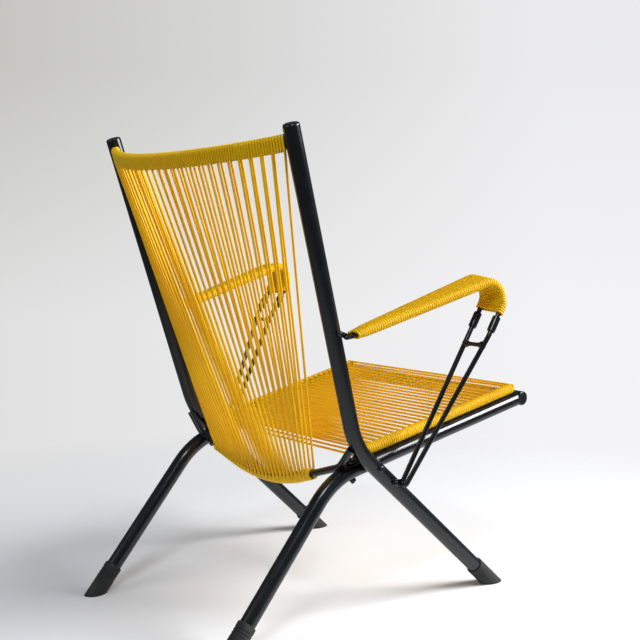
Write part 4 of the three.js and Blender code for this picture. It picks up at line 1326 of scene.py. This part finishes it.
def wound_on_top(i):
    """Whole turns on the top bar, then the part of one that ends low behind it."""
    coil = i * TOP_COILS_PER_ROUND
    whole = floor(TOP_TURNS)
    wound = []
    for k in range(whole):
        wound += coil_on_top(coil + k, turn)
    return wound + coil_on_top(coil + whole, [point for point in turn if point[0] <= half_turn])


tail = bar("tail", coil_on_top(-1, turn[:-TAIL_END_POINTS]), BACK_CORD_RADIUS, cord_skin,
           sides=CORD_SIDES)
drift = random.Random(23)
stations = wound_on_lower(-1, LOWER_TURNS - LOWER_FIRST_TURNS)
for i in range(BACK_ROUNDS):
    for wound in (wound_on_top(i), wound_on_lower(i)):
        stations += strand(stations[-1], wound[0], X_AXIS, drift) + wound
run = bar("run", stations, BACK_CORD_RADIUS, cord_skin, sides=CORD_SIDES)
joined("back_stringing", [run, tail], cord_skin, stands_for=["back_cord"])
print(f"back cord: {line_length(stations) / 1000:.2f} m")
print("back coils every", round((top_angle(1 / 4) - top_angle(0)) * top_radius, 2), "mm on the top bar")

# %% [markdown]
# The armrests are wrapped closely, turn against turn, round both rods of the loop at once. That makes
# a flat ribbed pad with round edges, which follows the loop over its nose and thins with it at the
# rear. Each turn is two half circles, one round each rod, whose places come from walking both rods.

# %% Armrest cords
ARM_CORD_RADIUS = 2.2
ARM_CORD_REAR_MARGIN = 3
ARM_CORD_COUPLING_MARGIN = 8
ARM_WRAP_RUN = 4.86
ARM_HALF_STEPS = 11

arm_wrap = ARM_ROD / 2 + ARM_CORD_RADIUS + CORD_TOUCH
bare_ends = COUPLING_LENGTH / 2 + ARM_CORD_COUPLING_MARGIN + ARM_CORD_REAR_MARGIN


def wrap_station(sign, walks, which, facing, angle, share):
    """A point of the cord: an angle round one rod, at a share of the wrapped length."""
    places = {each: at(ARM_CORD_REAR_MARGIN + run * share) for each, (at, run) in walks.items()}
    span = places["outer"][0] - places["inner"][0]
    along_way = (places["outer"][1] + places["inner"][1]).normalized()
    out = (span - along_way * span.dot(along_way)).normalized()
    up = out.cross(along_way) * sign
    mean_run = sum(run for at, run in walks.values()) / 2
    ahead = ARM_CORD_REAR_MARGIN + mean_run * share
    thinned = arm_wrap - ARM_ROD / 2 * (1 - LOOP_PRESSED) * pressed_share(ahead)
    around = out * (arm_wrap * sin(angle)) + up * (thinned * cos(angle))
    return places[which][0] + around * facing


for side, sign in SIDES.items():
    walks = {}
    for which, rod in ARM_RODS.items():
        at, length = walker(list(reversed(arm_leg(sign, rod))))
        walks[which] = (at, length - bare_ends)
    turns = round(sum(run for at, run in walks.values()) / 2 / ARM_WRAP_RUN)
    stations = []
    for i in range(turns):
        for which, late, facing in (("inner", 0, -1), ("outer", 1 / 2, 1)):
            for k in range(ARM_HALF_STEPS + 1):
                share = (i + late + k / (4 * ARM_HALF_STEPS)) / turns
                angle = pi * k / ARM_HALF_STEPS
                stations.append(wrap_station(sign, walks, which, facing, angle, share))
    cord(f"arm_wrapping_{side}", stations, [f"arm_cord_{side}"], ARM_CORD_RADIUS)
    print(side, "armrest:", turns, "turns")

# %% [markdown]
# The chair stands on a pale floor in a studio. A real sweep of paper would curve up behind it. Here the
# floor fades out into an even pale background, which does the same without a wall that would throw
# light on the chair from the back.

# %% Floor
FLOOR_TONE = (0.88, 0.88, 0.89)
FLOOR_ROUGHNESS = 0.9
FLOOR_REACH = 9.0
FLOOR_FULL = 0.35
FLOOR_GONE = 1.5

corners = [(x * FLOOR_REACH, y * FLOOR_REACH, 0) for x, y in ((-1, -1), (1, -1), (1, 1), (-1, 1))]
floor_mesh = bpy.data.meshes.new("studio_floor")
floor_mesh.from_pydata(corners, [], [(0, 1, 2, 3)])
studio_floor = linked("studio_floor", floor_mesh)
floor_finish, tree, shader = finish_of("studio_floor", FLOOR_TONE, FLOOR_ROUGHNESS)
where = tree.nodes.new("ShaderNodeTexCoord")
distance = tree.nodes.new("ShaderNodeVectorMath")
distance.operation = "LENGTH"
tree.links.new(where.outputs["Object"], distance.inputs[0])
fading = between(tree, distance.outputs["Value"], 1.0, 0.0, FLOOR_FULL, FLOOR_GONE)
tree.links.new(fading, shader.inputs["Alpha"])
floor_mesh.materials.append(floor_finish)
print("floor fades out from", FLOOR_FULL, "to", FLOOR_GONE, "m")


# %% [markdown]
# The key lamp is large and soft and hangs to the sitter's right and in front, so the arm's edge and the
# seat are bright and the back is seen against the light. A small cool lamp high behind the sitter's
# right draws the streaks on the bent legs, and a weak wide one fills the back.

# %% Lamps
def lamp(name, at, aim, size, power, tint=(1, 1, 1)):
    data = bpy.data.lights.new(name, "AREA")
    data.shape = "RECTANGLE"
    data.size, data.size_y = size
    data.energy = power
    data.color = tint
    obj = linked(name, data)
    way = Vector(at) - Vector(aim)
    obj.matrix_world = Matrix.Translation(at) @ way.to_track_quat("Z", "Y").to_matrix().to_4x4()
    print(name, power, "W")


lamp("key", (-2.1, -2.3, 2.05), (0, 0, 0.45), (1.6, 1.4), 200)
lamp("overhead", (-1.3, 1.0, 2.5), (0, 0, 0.3), (0.6, 0.6), 20, tint=(0.82, 0.91, 1.0))
lamp("behind_the_chair", (0.4, 2.9, 1.7), (0, 0, 0.55), (1.8, 1.8), 18)

# %% [markdown]
# The background is paler to the right and below, as in a room lit from one side. Only camera rays see
# it. For all other rays the room is dim, so that the black tubes stay black with thin bright streaks.

# %% Background
BACKDROP_TONES = {
    "upper left": (0.545, 0.540, 0.520),
    "upper right": (0.835, 0.835, 0.850),
    "lower left": (0.745, 0.745, 0.745),
    "lower right": (0.900, 0.900, 0.915),
}
PALER_RIGHT = (-0.30, 0.20)
PALER_BELOW = (-0.12, 0.10)
ROOM_TONE = (0.70, 0.74, 0.80)
ROOM_STRENGTH = 0.19

world = bpy.data.worlds.new("studio")
bpy.context.scene.world = world
world.use_nodes = True
tree = world.node_tree
room = tree.nodes["Background"]
room.inputs["Color"].default_value = (*ROOM_TONE, 1)
room.inputs["Strength"].default_value = ROOM_STRENGTH
backdrop = tree.nodes.new("ShaderNodeBackground")
where = tree.nodes.new("ShaderNodeTexCoord")


def towards(direction, start, stop):
    """How far a ray points in a direction, from 0 at start to 1 at stop."""
    part = tree.nodes.new("ShaderNodeVectorMath")
    part.operation = "DOT_PRODUCT"
    part.inputs[1].default_value = direction
    tree.links.new(where.outputs["Generated"], part.inputs[0])
    return between(tree, part.outputs["Value"], 0.0, 1.0, start, stop)


to_right = towards(across, *PALER_RIGHT)
upper, lower = (
    mixed(tree, to_right, BACKDROP_TONES[f"{level} left"], BACKDROP_TONES[f"{level} right"])
    for level in ("upper", "lower")
)
down = towards((0, 0, -1), *PALER_BELOW)
tree.links.new(mixed(tree, down, upper, lower), backdrop.inputs["Color"])
rays = tree.nodes.new("ShaderNodeLightPath")
choice = tree.nodes.new("ShaderNodeMixShader")
tree.links.new(rays.outputs["Is Camera Ray"], choice.inputs["Fac"])
tree.links.new(room.outputs["Background"], choice.inputs[1])
tree.links.new(backdrop.outputs["Background"], choice.inputs[2])
tree.links.new(choice.outputs["Shader"], tree.nodes["World Output"].inputs["Surface"])
bpy.context.scene.view_settings.view_transform = "Standard"
print("room strength", ROOM_STRENGTH)

# %% Size of what was made
print("pieces:", len(made), "triangles:", sum(made.values()))
